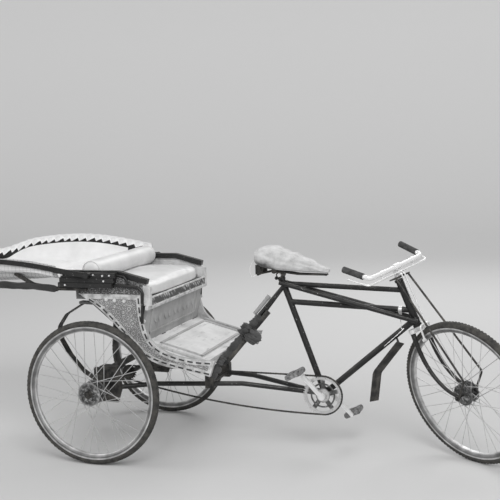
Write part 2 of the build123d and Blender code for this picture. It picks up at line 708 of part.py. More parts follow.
# A bead runs across the riser's top, and a carved skirt board closes the seat above it
BEAD_T = 15.0
BEAD_H = 18.0
BEAD_Z = 766.0
SKIRT_T = 8.0
with BuildPart() as seat_skirt:
    bead_x = RISER_TOP_X + 5.2
    with BuildSketch(Plane(origin=at(bead_x, 0, BEAD_Z), x_dir=(1, 0, 0), z_dir=(0, 1, 0))) as bead:
        Rectangle(BEAD_T, BEAD_H)
    extrude(bead.sketch, amount=BODY_HALF + 18, both=True)
    with BuildSketch(Plane(origin=at(RISER_TOP_X + 8 + SEAT_GAP + SKIRT_T / 2, 0, BEAD_Z))) as skirt:
        Rectangle(SKIRT_T, 2 * INNER_HALF)
    extrude(skirt.sketch, amount=SEAT_TOP_Z - BEAD_Z + 4)
save(seat_skirt.part, "seat_skirt")

# Wings stand on the side panels beside the cushion and carry the arm bars
WING_FRONT_X = RISER_TOP_X + 8 + SKIRT_T + 4
with BuildPart() as seat_wings:
    for side in (-1, 1):
        face = Plane(origin=(AXLE_X, side * (BODY_HALF - PANEL_T / 2), 0), x_dir=(1, 0, 0), z_dir=(0, -1, 0))
        with BuildSketch(face) as wing:
            with BuildLine():
                Polyline(
                    (-84, PANEL_TOP_Z + SEAT_GAP),
                    (242, PANEL_TOP_Z + SEAT_GAP),
                    (246, BEAD_Z + BEAD_H / 2 + SEAT_GAP),
                    (WING_FRONT_X, BEAD_Z + BEAD_H / 2 + SEAT_GAP),
                    (WING_FRONT_X, WING_TOP_Z - 50),
                    (114, WING_TOP_Z),
                    (-84, WING_TOP_Z),
                    close=True,
                )
            make_face()
        extrude(wing.sketch, amount=PANEL_T / 2, both=True)
save(seat_wings.part, "seat_wings")

ARM_BAR_W = 30.0
ARM_BAR_H = 26.0
BLOCK_REAR_X = -190.0
BLOCK_FRONT_X = 120.0
with BuildPart() as arm_bars:
    for side in (-1, 1):
        rise = WING_TOP_Z + SEAT_GAP + ARM_BAR_H / 2
        route = ((BLOCK_REAR_X, rise), (118, rise + 0.6), (272, rise - 38))
        middle_y = side * (BODY_HALF - ARM_BAR_W / 2)
        bent_strip([at(x, middle_y, z) for x, z in route], ARM_BAR_W, ARM_BAR_H, 60)
save(arm_bars.part, "arm_bars")

# Outside each wing a stack of three bars carries the hood's pivot pin
STACK_LOW_Z = 862.0
STACK_BARS = 3
STACK_GROOVE = 2.5
with BuildPart() as hood_blocks:
    bar_h = (WING_TOP_Z + 20 - STACK_LOW_Z) / STACK_BARS
    for side in (-1, 1):
        inner_y = BODY_HALF + SEAT_GAP
        middle_y = side * (inner_y + BLOCK_OUT) / 2
        for index in range(STACK_BARS):
            low_z = STACK_LOW_Z + index * bar_h
            centre_x = (BLOCK_REAR_X + BLOCK_FRONT_X) / 2 + 9 * (index - 1)
            with BuildSketch(Plane(origin=at(centre_x, middle_y, low_z))) as bar:
                Rectangle(BLOCK_FRONT_X - BLOCK_REAR_X - 18, BLOCK_OUT - inner_y)
            extrude(bar.sketch, amount=bar_h)
        for index in (1, 2):
            groove = at(0, side * BLOCK_OUT, STACK_LOW_Z + index * bar_h)
            groove_plane = Plane(origin=groove, x_dir=(0, 1, 0), z_dir=(1, 0, 0))
            with BuildSketch(groove_plane) as notch:
                Rectangle(8, STACK_GROOVE)
            extrude(notch.sketch, amount=400, both=True, mode=Mode.SUBTRACT)
        pin = at(PIVOT_X, 0, PIVOT_Z)
        pin_end = BLOCK_OUT + 3 * BOW_STEP + 1
        rod(pin + Vector(0, side * (BLOCK_OUT - 5), 0), pin + Vector(0, side * pin_end, 0), PIN_R)
        rod(pin + Vector(0, side * pin_end, 0), pin + Vector(0, side * (pin_end + 4), 0), PIN_R + 5)
save(hood_blocks.part, "hood_blocks")

# Iron stays: from the stack's front end over and down the side panel, with a loop handle
STAY_IRON_R = 7.0
LOOP_R = 5.0
STAY_ROUTE = ((BLOCK_FRONT_X - 17.2, 874), (228, 866), (254, 842), (246, 690))
LOOP_ROUTE = ((BLOCK_FRONT_X + 0.9, 922), (158, 917), (178, 892), (181, 868))
with BuildPart() as arm_stays:
    for side in (-1, 1):
        iron_y = side * (BODY_HALF + BORDER_T + STAY_IRON_R + SEAT_GAP)
        bent_rod([at(x, iron_y, z) for x, z in STAY_ROUTE], STAY_IRON_R, 14)
        bent_rod([at(x, iron_y, z) for x, z in LOOP_ROUTE], LOOP_R, 12)
save(arm_stays.part, "arm_stays")

# The rest rail carries the folded hood, with a prop on each side
REST_R = 9.0
REST_Z = STACK_LOW_Z - SEAT_GAP - REST_R
REST_ROUTE = ((-40, REST_Z), (-205, REST_Z), (-340, REST_Z + 10), (-740, REST_Z + 16))
with BuildPart() as hood_rest:
    rest_y = (BODY_HALF + BLOCK_OUT) / 2
    left = [at(x, rest_y, z) for x, z in REST_ROUTE]
    right = [at(x, -rest_y, z) for x, z in reversed(REST_ROUTE)]
    bent_rod(left + right, REST_R, 40)
    for side in (-1, 1):
        prop = ((-300, REST_Z + 8), (-340, REST_Z + 24), (-436, REST_Z + 74))
        bent_strip([at(x, side * (rest_y + 6), z) for x, z in prop], 5, 20, 20)
save(hood_rest.part, "hood_rest")

# Soft parts: plain solids for the seat cushion and the back roll
CUSHION_FRONT_X = RISER_TOP_X + 14
CUSHION_REAR_X = -92.0
with BuildPart() as seat_cushion:
    with BuildSketch(Plane(origin=at((CUSHION_FRONT_X + CUSHION_REAR_X) / 2, 0, SEAT_TOP_Z + 4.5))) as pad:
        RectangleRounded(CUSHION_FRONT_X - CUSHION_REAR_X, 2 * INNER_HALF - 24, 18)
    extrude(pad.sketch, amount=CUSHION_T)
    fillet(seat_cushion.edges().group_by(Axis.Z)[-1], 18)
save(seat_cushion.part, "seat_cushion")

with BuildPart() as back_roll:
    centre = at(-44, 0, SEAT_TOP_Z + 4.5 + CUSHION_T + ROLL_R + SEAT_GAP)
    rod(centre - Vector(0, INNER_HALF - 14, 0), centre + Vector(0, INNER_HALF - 14, 0), ROLL_R)
save(back_roll.part, "back_roll")

with BuildPart() as back_board:
    with BuildSketch(Plane(origin=at(-110, 0, SEAT_TOP_Z - 14))) as section:
        Rectangle(18, 2 * INNER_HALF)
    extrude(section.sketch, amount=WING_TOP_Z - SEAT_TOP_Z + 14)
save(back_board.part, "back_board")

# Hood bows: three nested hoops of flat bar on one pin, folded back
BOWS = (
    # name, steps inwards, drop of the rear end
    ("hood_bow_rear", 2, 44.0),
    ("hood_bow_middle", 1, 22.0),
    ("hood_bow_front", 0, 0.0),
)
BOW_SIDE_VIEW = ((-430, 983), (-800, 962))
BOW_REAR_Z = 892.0
BOW_CORNER = 60.0
FRILL_H = 68.0
FRILL_T = 3.0


def bow_side(steps, drop, lift, start_x, outwards=0.0):
    """Points of one bow's leg in side view, from its front end back to its corner."""
    first_x, first_z = BOW_SIDE_VIEW[0]
    slope = (first_z + drop * first_x / HOOD_BACK - PIVOT_Z) / (first_x - PIVOT_X)
    corner_x = BOW_T / 2 + FRILL_T + SEAT_GAP + steps * BOW_BACK_STEP + BOW_CORNER - HOOD_BACK - outwards
    points = [(start_x, PIVOT_Z + slope * (start_x - PIVOT_X) + lift)]
    points += [(x, z + drop * x / HOOD_BACK + lift) for x, z in BOW_SIDE_VIEW]
    return points + [(corner_x, BOW_REAR_Z - drop + lift)]


def bow_strip(steps, drop, height, thickness, lift=0.0, start_x=PIVOT_X, outwards=0.0, both_legs=True):
    """A strip on edge in the open part, from the right leg round the back to the left leg."""
    half = BLOCK_OUT + 6 + (2 - steps) * BOW_STEP + outwards
    leg = bow_side(steps, drop, lift, start_x, outwards)
    back = leg[-1][0] - BOW_CORNER
    rear_z = leg[-1][1]
    ahead = at(leg[1][0], 0, leg[1][1]) - at(leg[0][0], 0, leg[0][1])
    with BuildLine() as path:
        if both_legs:
            Spline(*[at(x, -half, z) for x, z in leg], tangents=[ahead, (-1, 0, 0)])
        corner_end = at(back, BOW_CORNER - half, rear_z)
        TangentArc(at(leg[-1][0], -half, rear_z), corner_end, tangent=(-1, 0, 0))
        Line(corner_end, at(back, half - BOW_CORNER, rear_z))
        TangentArc(at(back, half - BOW_CORNER, rear_z), at(leg[-1][0], half, rear_z), tangent=(0, 1, 0))
        points = [at(x, half, z) for x, z in reversed(leg)]
        Spline(*points, tangents=[(1, 0, 0), ahead * -1])
    start = Plane(origin=path.line @ 0, x_dir=(0, 1, 0), z_dir=path.line % 0)
    with BuildSketch(start) as section:
        Rectangle(thickness, height)
    sweep(section.sketch, path=path.line)
    return path.line @ 0, path.line @ 1


for name, steps, drop in BOWS:
    with BuildPart() as bow:
        for end in bow_strip(steps, drop, BOW_H, BOW_T):
            rod(end - Vector(0, BOW_T / 2, 0), end + Vector(0, BOW_T / 2, 0), PIN_R + 8)
            rod(end - Vector(0, BOW_T, 0), end + Vector(0, BOW_T, 0), PIN_R + RUN_FIT, Mode.SUBTRACT)
    save(bow.part, name)

# Hood cloth, folded down: a frill on the front bow, folds between the bows and the back's sheet
CLOTH_FRONT_X = -62.0
FOLD_H = 50.0
FOLD_T = BOW_STEP - BOW_T - 2 * SEAT_GAP
with BuildPart() as hood_frill:
    bow_strip(0, 0, FRILL_H, FRILL_T, FRILL_H / 2 + 2, CLOTH_FRONT_X, (BOW_T + FRILL_T) / 2 + SEAT_GAP, False)
save(hood_frill.part, "hood_frill")

for name, steps, drop in (("hood_canopy_rear", 1.5, 33.0), ("hood_canopy_front", 0.5, 11.0)):
    with BuildPart() as fold:
        bow_strip(steps, drop, FOLD_H, FOLD_T, -20, CLOTH_FRONT_X)
    save(fold.part, name)

SHEET_T = 6.0
SHEET_DROP = BOW_H / 2 + SHEET_T / 2 + SEAT_GAP
with BuildPart() as hood_back_panel:
    side_view = bow_side(2, 44.0, -SHEET_DROP, -215.0)
    with BuildLine() as route:
        rear_end = at(side_view[-1][0] - BOW_CORNER + 10, 0, side_view[-1][1])
        Spline(*[at(x, 0, z) for x, z in side_view], rear_end)
    start = Plane(origin=route.line @ 0, x_dir=(0, 1, 0), z_dir=route.line % 0)
    with BuildSketch(start) as section:
        Rectangle(2 * (BLOCK_OUT - 12), SHEET_T)
    sweep(section.sketch, path=route.line)
save(hood_back_panel.part, "hood_back_panel")

# Saddle: a padded shell over a frame of post, clamp, rails and two coil springs
SADDLE = seat_line(SEAT_TUBE_LEN + SADDLE_RISE)
SADDLE_SIDE = (
    # forward and up of the seat tube's line at saddle height
    (-94, -9), (-101, 36), (-61, 73), (-6, 77), (87, 49), (278, -24),
    (278, -58), (190, -50), (75, -46), (20, -20),
)
SADDLE_PLAN = ((-104, 62), (-84, 96), (-40, 106), (10, 96), (95, 46), (180, 24), (268, 20), (282, 10))
with BuildPart() as saddle:
    with BuildSketch(Plane(origin=SADDLE - Vector(0, 0, 80))) as plan:
        left = list(SADDLE_PLAN)
        right = [(x, -y) for x, y in reversed(SADDLE_PLAN)]
        with BuildLine():
            Polyline(*left, *right, close=True)
        make_face()
    extrude(plan.sketch, amount=180)
    with BuildSketch(Plane(origin=SADDLE, x_dir=(1, 0, 0), z_dir=(0, -1, 0))) as side_face:
        with BuildLine():
            Polyline(*SADDLE_SIDE, close=True)
        make_face()
    extrude(side_face.sketch, amount=130, both=True, mode=Mode.INTERSECT)
save(saddle.part, "saddle")

SADDLE_RAIL_R = 4.0
COIL_R = 17.0
COIL_HALF = 45.0
with BuildPart() as saddle_frame:
    clamp = SADDLE - Vector(0, 0, 44)
    rod(seat_line(SEAT_TUBE_LEN + SEAT_GAP), seat_line(SEAT_TUBE_LEN + SADDLE_RISE - 50), SEAT_POST_R)
    rod(clamp - Vector(0, 30, 0), clamp + Vector(0, 30, 0), 14)
    for side in (-1, 1):
        rails = ((-74, 22, -60), (0, 22, -44), (120, 20, -60), (262, 12, -62))
        bent_rod([SADDLE + Vector(x, side * y, z) for x, y, z in rails], SADDLE_RAIL_R, 30)
        coil = SADDLE + Vector(-74, side * COIL_HALF, -58)
        rod(coil, coil + Vector(0, 0, 45.4), COIL_R)
    for x, z, half in ((-74, -60, 62), (262, -62, 16)):
        cross = SADDLE + Vector(x, 0, z)
        rod(cross - Vector(0, half, 0), cross + Vector(0, half, 0), 5)
save(saddle_frame.part, "saddle_frame")

# Mud flap behind the front wheel, clipped under the down tube
FLAP_ROUTE = ((1430, 566), (1375, 494), (1315, 414), (1298, 270))
FLAP_W = 60.0
FLAP_T = 3.0
with BuildPart() as mud_flap:
    flap = [at(x, -20, z) for x, z in FLAP_ROUTE]
    bent_strip(flap, FLAP_W, FLAP_T, 50, (0.64, 0.77, 0))
    rod(flap[0] + Vector(-8, 4, -10), flap[0] + Vector(-26, 20, 30), 5)
    rod(CRANK, head_point(DOWN_AT_HEAD), DOWN_TUBE_R + SEAT_GAP, Mode.SUBTRACT)
save(mud_flap.part, "mud_flap")

# Pump strapped behind the right stay
PUMP_R = 14.0
PUMP_LEN = 330.0
with BuildPart() as pump:
    stay_top = seat_line(STAY_AT_SEAT) - Vector(0, 7, 0)
    stay_foot = at(JOINT_X + 8, 1 - JOINT_HALF, BLOCK_TOP + 6.5)
    down = (stay_foot - stay_top).normalized()
    beside = down.cross(Vector(0, 1, 0)).normalized() * (STAY_R + PUMP_R + SEAT_GAP)
    low = stay_top + down * (150 + PUMP_LEN) + beside
    rod(stay_top + down * 150 + beside, low, PUMP_R)
    rod(low, low + down * 26, PUMP_R - 4)
save(pump.part, "pump")

# Steering: crown with the steerer, blades with the front axle, rods, handlebar, grips, brake gear
BLADE_ROUTE = ((CROWN_LOW - 1.6, 0), (245, -4), (172, 5), (100, 30), (46, 65), (0, FORK_OFFSET))
with BuildPart() as fork_crown:
    rod(steered(CROWN_LOW, 0), steered(HEAD_TOP + 40, 0), STEERER_R)
    with BuildSketch(Plane(origin=steered(CROWN_LOW, 0), x_dir=LEFT, z_dir=HEAD_UP)) as crown:
        SlotOverall(2 * BLADE_HALF_GAP + 30, 34)
    extrude(crown.sketch, amount=CROWN_T)
save(fork_crown.part, "fork_crown")

with BuildPart() as fork_blades:
    for side in (-1, 1):
        with BuildLine() as route:
            Spline(*[steered(up, ahead, side * BLADE_HALF_GAP) for up, ahead in BLADE_ROUTE])
        with BuildSketch(Plane(origin=route.line @ 0, z_dir=route.line % 0)) as top:
            Circle(BLADE_R)
        with BuildSketch(Plane(origin=route.line @ 1, z_dir=route.line % 1)) as tip:
            Circle(BLADE_TIP_R)
        sweep(sections=[top.sketch.faces()[0], tip.sketch.faces()[0]], path=route.line, multisection=True)
    axle_end = BLADE_HALF_GAP + 30
    rod(steered(0, FORK_OFFSET, -axle_end), steered(0, FORK_OFFSET, axle_end), FRONT_AXLE_R)
save(fork_blades.part, "fork_blades")

with BuildPart() as fork_rods:
    for side in (-1, 1):
        low = side * (BLADE_HALF_GAP + BLADE_R + FORK_ROD_R + 1)
        top = side * FORK_ROD_TOP_HALF
        bends = ((HEAD_TOP + 12, 30, top), (72, FORK_OFFSET + 80, low), (2, FORK_OFFSET + 9, low))
        bent_rod([steered(*point) for point in bends], FORK_ROD_R, 24)
        inner = steered(0, FORK_OFFSET, low - 4)
        outer = steered(0, FORK_OFFSET, low + 4)
        rod(inner, outer, 12)
        rod(inner - LEFT * 2, outer + LEFT * 2, FRONT_AXLE_R + SEAT_GAP, Mode.SUBTRACT)
    with BuildSketch(Plane(origin=steered(HEAD_TOP + 8, 0), x_dir=LEFT, z_dir=HEAD_UP)) as yoke:
        with Locations((0, -14)):
            Rectangle(2 * FORK_ROD_TOP_HALF + 14, 44)
    extrude(yoke.sketch, amount=6)
    rod(steered(HEAD_TOP, 0), steered(HEAD_TOP + 20, 0), STEERER_R + SEAT_GAP, Mode.SUBTRACT)
save(fork_rods.part, "fork_rods")

# The bar is straight in the middle, and each end is swept back and up
BAR_STRAIGHT = BAR_HALF - 40.0
STEM_CLAMP_R = BAR_R + 5.0
STEM_CLAMP_HALF = 18.0
BAR_ROOT = (BAR_RISE + 2, BAR_AHEAD - 4, BAR_HALF + 14)
BAR_TIP = (BAR_RISE + BAR_LIFT, BAR_AHEAD - BAR_SWEEP, BAR_HALF + 31)
with BuildPart() as handlebar:
    for side in (-1, 1):
        bends = ((BAR_RISE, BAR_AHEAD, BAR_STRAIGHT), BAR_ROOT, BAR_TIP)
        bent_rod([steered(up, ahead, side * left) for up, ahead, left in bends], BAR_R, 24)
    rod(steered(BAR_RISE, BAR_AHEAD, -BAR_STRAIGHT), steered(BAR_RISE, BAR_AHEAD, BAR_STRAIGHT), BAR_R)
    rod(steered(HEAD_TOP + 40 + SEAT_GAP, 0), steered(BAR_RISE, 0), 11)
    rod(steered(BAR_RISE, -8), steered(BAR_RISE, BAR_AHEAD), 14)
    clamp_left = steered(BAR_RISE, BAR_AHEAD, STEM_CLAMP_HALF)
    rod(steered(BAR_RISE, BAR_AHEAD, -STEM_CLAMP_HALF), clamp_left, STEM_CLAMP_R)
save(handlebar.part, "handlebar")

with BuildPart() as grips:
    for side in (-1, 1):
        tip = steered(BAR_TIP[0], BAR_TIP[1], side * BAR_TIP[2])
        root = steered(BAR_ROOT[0], BAR_ROOT[1], side * BAR_ROOT[2])
        back = (tip - root).normalized()
        rod(tip + back * 4, tip - back * GRIP_LEN, GRIP_R)
        rod(tip + back * 0.3, tip - back * (GRIP_LEN + 1), BAR_R + SEAT_GAP, Mode.SUBTRACT)
save(grips.part, "grips")

# Brake gear: a lever rod under the bar, two pull rods and a stirrup over the wheel
LEVER_R = 4.5
PULL_R = 3.5
PULL_AHEAD = 43.0
CLIP_HALF = 110.0
STIRRUP_HALF = 32.0
STIRRUP_R = 5.0
with BuildPart() as brake_gear:
    level = BAR_RISE - 28.0
    ahead = BAR_AHEAD - 2.0
    lever = ((level + 62, ahead - 96, BAR_HALF + 56), (level, ahead, BAR_HALF + 34))
    right_end = [steered(u, f, -n) for u, f, n in lever]
    left_end = [steered(u, f, n) for u, f, n in reversed(lever)]
    bent_rod(right_end + left_end, LEVER_R, 20)
    for side in (-1, 1):
        rod(steered(level, ahead, side * CLIP_HALF), steered(BAR_RISE - 8, BAR_AHEAD, side * CLIP_HALF), 3.5)
        inner, outer = side * (CLIP_HALF - 7), side * (CLIP_HALF + 7)
        rod(steered(BAR_RISE, BAR_AHEAD, inner), steered(BAR_RISE, BAR_AHEAD, outer), BAR_R + 3)
        pull = ((level, ahead, 10), (HEAD_TOP + 24, PULL_AHEAD, 10), (CROWN_LOW + 24, PULL_AHEAD + 2, 10))
        bent_rod([steered(u, f, side * n) for u, f, n in pull], PULL_R, 12)
        rod(steered(296, 36, side * (TYRE_HALF + 6)), steered(296, 36, side * (STIRRUP_HALF + 6)), 8)
    stirrup = ((300, 39, STIRRUP_HALF), (CROWN_LOW + 24, PULL_AHEAD + 2, STIRRUP_HALF))
    right_end = [steered(u, f, -n) for u, f, n in stirrup]
    left_end = [steered(u, f, n) for u, f, n in reversed(stirrup)]
    bent_rod(right_end + left_end, STIRRUP_R, 12)
    bar_right = steered(BAR_RISE, BAR_AHEAD, -BAR_STRAIGHT)
    bar_left = steered(BAR_RISE, BAR_AHEAD, BAR_STRAIGHT)
    rod(bar_right, bar_left, BAR_R + SEAT_GAP, Mode.SUBTRACT)
save(brake_gear.part, "brake_gear")
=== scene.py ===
from math import asin, atan2, cos, pi, radians, sin, sqrt

import bmesh
import bpy
from mathutils import Matrix, Vector, noise


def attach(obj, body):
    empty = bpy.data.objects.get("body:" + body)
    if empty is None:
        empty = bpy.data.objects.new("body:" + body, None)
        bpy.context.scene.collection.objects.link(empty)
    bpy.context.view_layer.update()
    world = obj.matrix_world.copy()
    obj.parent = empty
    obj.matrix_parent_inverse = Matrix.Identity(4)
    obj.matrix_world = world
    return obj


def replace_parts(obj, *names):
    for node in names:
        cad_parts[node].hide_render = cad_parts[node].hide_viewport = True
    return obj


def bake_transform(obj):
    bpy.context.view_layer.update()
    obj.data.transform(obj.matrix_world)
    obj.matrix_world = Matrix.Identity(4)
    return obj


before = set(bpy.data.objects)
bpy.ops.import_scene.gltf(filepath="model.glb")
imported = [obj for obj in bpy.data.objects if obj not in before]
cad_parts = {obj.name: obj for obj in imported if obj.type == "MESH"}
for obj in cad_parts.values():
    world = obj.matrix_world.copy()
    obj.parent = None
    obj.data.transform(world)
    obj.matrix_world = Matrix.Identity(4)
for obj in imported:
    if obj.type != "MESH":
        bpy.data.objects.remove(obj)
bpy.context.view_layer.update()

# Main sizes in metres, as in the part's source
AXLE_X = -0.4500019
TYRE_R = 0.3555
TRACK = 0.941
WHEELBASE = 1.766
FORK_OFFSET = 0.128
BB_X, BB_Z = 1.047, 0.290
BODY_HALF = 0.380
BORDER_T = 0.003
SEAT_TOP_Z = 0.812
PIVOT_X, PIVOT_Z = -0.020, 0.925
HOOD_BACK = 1.150
BLOCK_OUT = 0.412
CROWN_LOW = sqrt(TYRE_R**2 - FORK_OFFSET**2) + 0.010
HEAD_LOW = CROWN_LOW + 0.0202
CHAIN_Y = -0.045
CHAIN_PITCH = 0.0127
CHAIN_SAG = 0.032
RING_R = CHAIN_PITCH / 2 / sin(pi / 48)
SPROCKET_R = CHAIN_PITCH / 2 / sin(pi / 18)

# Directions: the head tube leans back, and the fork and bar are turned to the right
HEAD_ANGLE = radians(68)
STEER_ANGLE = radians(-34.7)
SEAT_ANGLE = radians(69.9)
UP = Vector((0, 0, 1))
TO_LEFT = Vector((0, 1, 0))
HEAD_UP = Vector((-cos(HEAD_ANGLE), 0, sin(HEAD_ANGLE)))
straight = Vector((sin(HEAD_ANGLE), 0, cos(HEAD_ANGLE)))
AHEAD = straight * cos(STEER_ANGLE) + TO_LEFT * sin(STEER_ANGLE)
LEFT = TO_LEFT * cos(STEER_ANGLE) - straight * sin(STEER_ANGLE)
lean = asin(LEFT.z)
HUB_Z = TYRE_R * cos(lean) + 0.006 * sin(lean)
AXIS_X = WHEELBASE - FORK_OFFSET * sin(HEAD_ANGLE)
AXIS_Z = HUB_Z - FORK_OFFSET * AHEAD.z


def at(x, y, z):
    """A place ahead of the rear axle, to the left of the middle and above the ground."""
    return Vector((AXLE_X + x, y, z))


def steered(up, ahead, left=0.0):
    """A place along the head tube's line, in the turned fork's own directions."""
    return at(AXIS_X, 0, AXIS_Z) + HEAD_UP * up + AHEAD * ahead + LEFT * left


def seat_line(length, y=0.0):
    """A place on the seat tube's line, at a length from the crank."""
    return at(BB_X - length * cos(SEAT_ANGLE), y, BB_Z + length * sin(SEAT_ANGLE))


def limited(value):
    """The value, kept between 0 and 1."""
    return min(1, max(0, value))


def eased(share):
    """A share from 0 to 1 that starts and ends softly."""
    return share * share * (3 - 2 * share)


def rumple(x, y, z):
    """Smooth noise at a place, about -1 to 1."""
    return noise.noise(Vector((x, y, z)))


FRONT_HUB = steered(0, FORK_OFFSET)
RIGHT_HUB = at(0, -TRACK / 2, TYRE_R)
LEFT_HUB = at(0, TRACK / 2, TYRE_R)
CRANK = at(BB_X, CHAIN_Y, BB_Z)
SADDLE = seat_line(0.702)

# Finishes
EVEN = (1, 1, 1)


def rgba(color):
    """A grey or a colour as four numbers."""
    return (color, color, color, 1) if isinstance(color, float) else (*color, 1)


def feed(tree, value, socket):
    """Give a socket another node's output, a number or a colour."""
    if isinstance(value, bpy.types.NodeSocket):
        tree.links.new(value, socket)
    else:
        socket.default_value = rgba(value) if socket.type == "RGBA" else value


def new_finish(name, color, roughness, metallic=0.0, coat=0.0, sheen=0.0):
    """A material with its shader's fixed numbers set, and its nodes at hand."""
    material = bpy.data.materials.new(name)
    material.use_nodes = True
    tree = material.node_tree
    shader = tree.nodes["Principled BSDF"]
    shader.inputs["Base Color"].default_value = rgba(color)
    shader.inputs["Roughness"].default_value = roughness
    shader.inputs["Metallic"].default_value = metallic
    shader.inputs["Coat Weight"].default_value = coat
    shader.inputs["Coat Roughness"].default_value = 0.25
    shader.inputs["Sheen Weight"].default_value = sheen
    return material, tree, shader


def place(tree, scale=EVEN):
    """Object coordinates, stretched by scale."""
    coordinates = tree.nodes.new("ShaderNodeTexCoord")
    mapping = tree.nodes.new("ShaderNodeMapping")
    mapping.inputs["Scale"].default_value = scale
    tree.links.new(coordinates.outputs["Object"], mapping.inputs["Vector"])
    return mapping.outputs["Vector"]


def cloud(tree, size, detail, stretch=EVEN, rough=0.55):
    """Soft noise with features of about the given size in metres."""
    texture = tree.nodes.new("ShaderNodeTexNoise")
    texture.inputs["Scale"].default_value = 1 / size
    texture.inputs["Detail"].default_value = detail
    texture.inputs["Roughness"].default_value = rough
    tree.links.new(place(tree, stretch), texture.inputs["Vector"])
    return texture.outputs["Fac"]


def steps(tree, value, *stops):
    """A ramp from the value through (place, grey or colour) stops."""
    ramp = tree.nodes.new("ShaderNodeValToRGB")
    while len(ramp.color_ramp.elements) < len(stops):
        ramp.color_ramp.elements.new(0.5)
    for element, (spot, color) in zip(ramp.color_ramp.elements, stops):
        element.position = spot
        element.color = rgba(color)
    tree.links.new(value, ramp.inputs["Fac"])
    return ramp.outputs["Color"]


def blend_of(tree, share, first, second, how="MIX"):
    """Two colours mixed by a share, each a number, a colour or an output."""
    mix = tree.nodes.new("ShaderNodeMix")
    mix.data_type = "RGBA"
    mix.blend_type = how
    for index, value in ((0, share), (6, first), (7, second)):
        feed(tree, value, mix.inputs[index])
    return mix.outputs[2]


def sums(tree, how, first, second):
    """One arithmetic step on two numbers or outputs."""
    node = tree.nodes.new("ShaderNodeMath")
    node.operation = how
    feed(tree, first, node.inputs[0])
    feed(tree, second, node.inputs[1])
    return node.outputs[0]


def axes(tree, source=None):
    """The X, Y and Z of a vector, which is the place itself if none is given."""
    split = tree.nodes.new("ShaderNodeSeparateXYZ")
    tree.links.new(place(tree) if source is None else source, split.inputs[0])
    return split.outputs


def mottle(tree, shader, size, detail, low, high, full=0.8):
    """Roughness that varies in patches between two values."""
    patches = steps(tree, cloud(tree, size, detail), (0.3, low), (full, high))
    tree.links.new(patches, shader.inputs["Roughness"])


def thread_grid(tree, pitch, half):
    """1 on the thin lines of a square grid in side view, and 0 between them."""
    spots = axes(tree, place(tree, (1 / pitch, 1 / pitch, 1 / pitch)))
    lines = [sums(tree, "LESS_THAN", sums(tree, "PINGPONG", spots[axis], 0.5), half) for axis in "XZ"]
    return sums(tree, "MAXIMUM", *lines)


def coat_on(material):
    """A finish's nodes, its shader and what feeds its colour, to lay another coat over it."""
    tree = material.node_tree
    shader = tree.nodes["Principled BSDF"]
    return tree, shader, shader.inputs["Base Color"].links[0].from_socket


def paint(tree, shader, color):
    """Give the shader its colour from another node's output."""
    tree.links.new(color, shader.inputs["Base Color"])


def relief(tree, shader, height, strength, depth=0.001):
    """A bump on the shader from a height between 0 and 1."""
    bump = tree.nodes.new("ShaderNodeBump")
    bump.inputs["Strength"].default_value = strength
    bump.inputs["Distance"].default_value = depth
    tree.links.new(height, bump.inputs["Height"])
    tree.links.new(bump.outputs["Normal"], shader.inputs["Normal"])


def facing_up(tree):
    """How far a face looks up, from 0 to 1."""
    geometry = tree.nodes.new("ShaderNodeNewGeometry")
    return sums(tree, "MAXIMUM", axes(tree, geometry.outputs["Normal"])["Z"], 0.0)


def worn_paint(name, color, dust, gloss=0.3, chips=0.64, chip_color=0.3):
    """Glossy paint with dust where it faces up, a mottled gloss and small chips."""
    material, tree, shader = new_finish(name, color, gloss)
    grime = steps(tree, cloud(tree, 0.05, 6), (0.38, 0.0), (0.75, 1.0))
    settled = sums(tree, "ADD", sums(tree, "MULTIPLY", facing_up(tree), 0.45), 0.05)
    coated = blend_of(tree, sums(tree, "MULTIPLY", grime, settled), color, dust)
    chipped = steps(tree, cloud(tree, 0.012, 5, rough=0.7), (chips, 0.0), (chips + 0.04, 1.0))
    paint(tree, shader, blend_of(tree, chipped, coated, chip_color))
    mottle(tree, shader, 0.03, 5, gloss, gloss + 0.35)
    relief(tree, shader, cloud(tree, 0.004, 3), 0.12, 0.0006)
    return material


def plated_steel(name, color, gloss, metallic=0.75, rust=0.62):
    """Plated steel with dull patches and rust specks, fewer with a higher rust limit."""
    dirt = 0.12
    material, tree, shader = new_finish(name, color, gloss, metallic=metallic)
    dull = steps(tree, cloud(tree, 0.05, 5), (0.4, 0.0), (0.8, 1.0))
    specks = steps(tree, cloud(tree, 0.008, 4, rough=0.7), (rust, 0.0), (rust + 0.08, 1.0))
    clean = blend_of(tree, dull, color, color * 0.78)
    rusty = blend_of(tree, specks, clean, (dirt, dirt * 0.8, dirt * 0.6))
    paint(tree, shader, rusty)
    mottle(tree, shader, 0.03, 4, gloss, gloss + 0.2, 0.85)
    return material


def greasy_iron(name, color):
    """Dark iron with oily shine, dust and rough scale."""
    material, tree, shader = new_finish(name, color, 0.5, metallic=0.35)
    dust = steps(tree, cloud(tree, 0.04, 7, rough=0.65), (0.42, color), (0.8, (0.16, 0.15, 0.135)))
    paint(tree, shader, dust)
    mottle(tree, shader, 0.02, 4, 0.35, 0.8)
    relief(tree, shader, cloud(tree, 0.005, 5, rough=0.7), 0.35, 0.001)
    return material


def dusty_rubber(name, color, dust, size=0.03):
    """Rubber with road dust in patches and a fine grain."""
    material, tree, shader = new_finish(name, color, 0.82)
    patches = steps(tree, cloud(tree, size, 7, rough=0.65), (0.35, color), (0.78, dust))
    paint(tree, shader, patches)
    relief(tree, shader, cloud(tree, 0.002, 4, rough=0.7), 0.3, 0.0006)
    return material


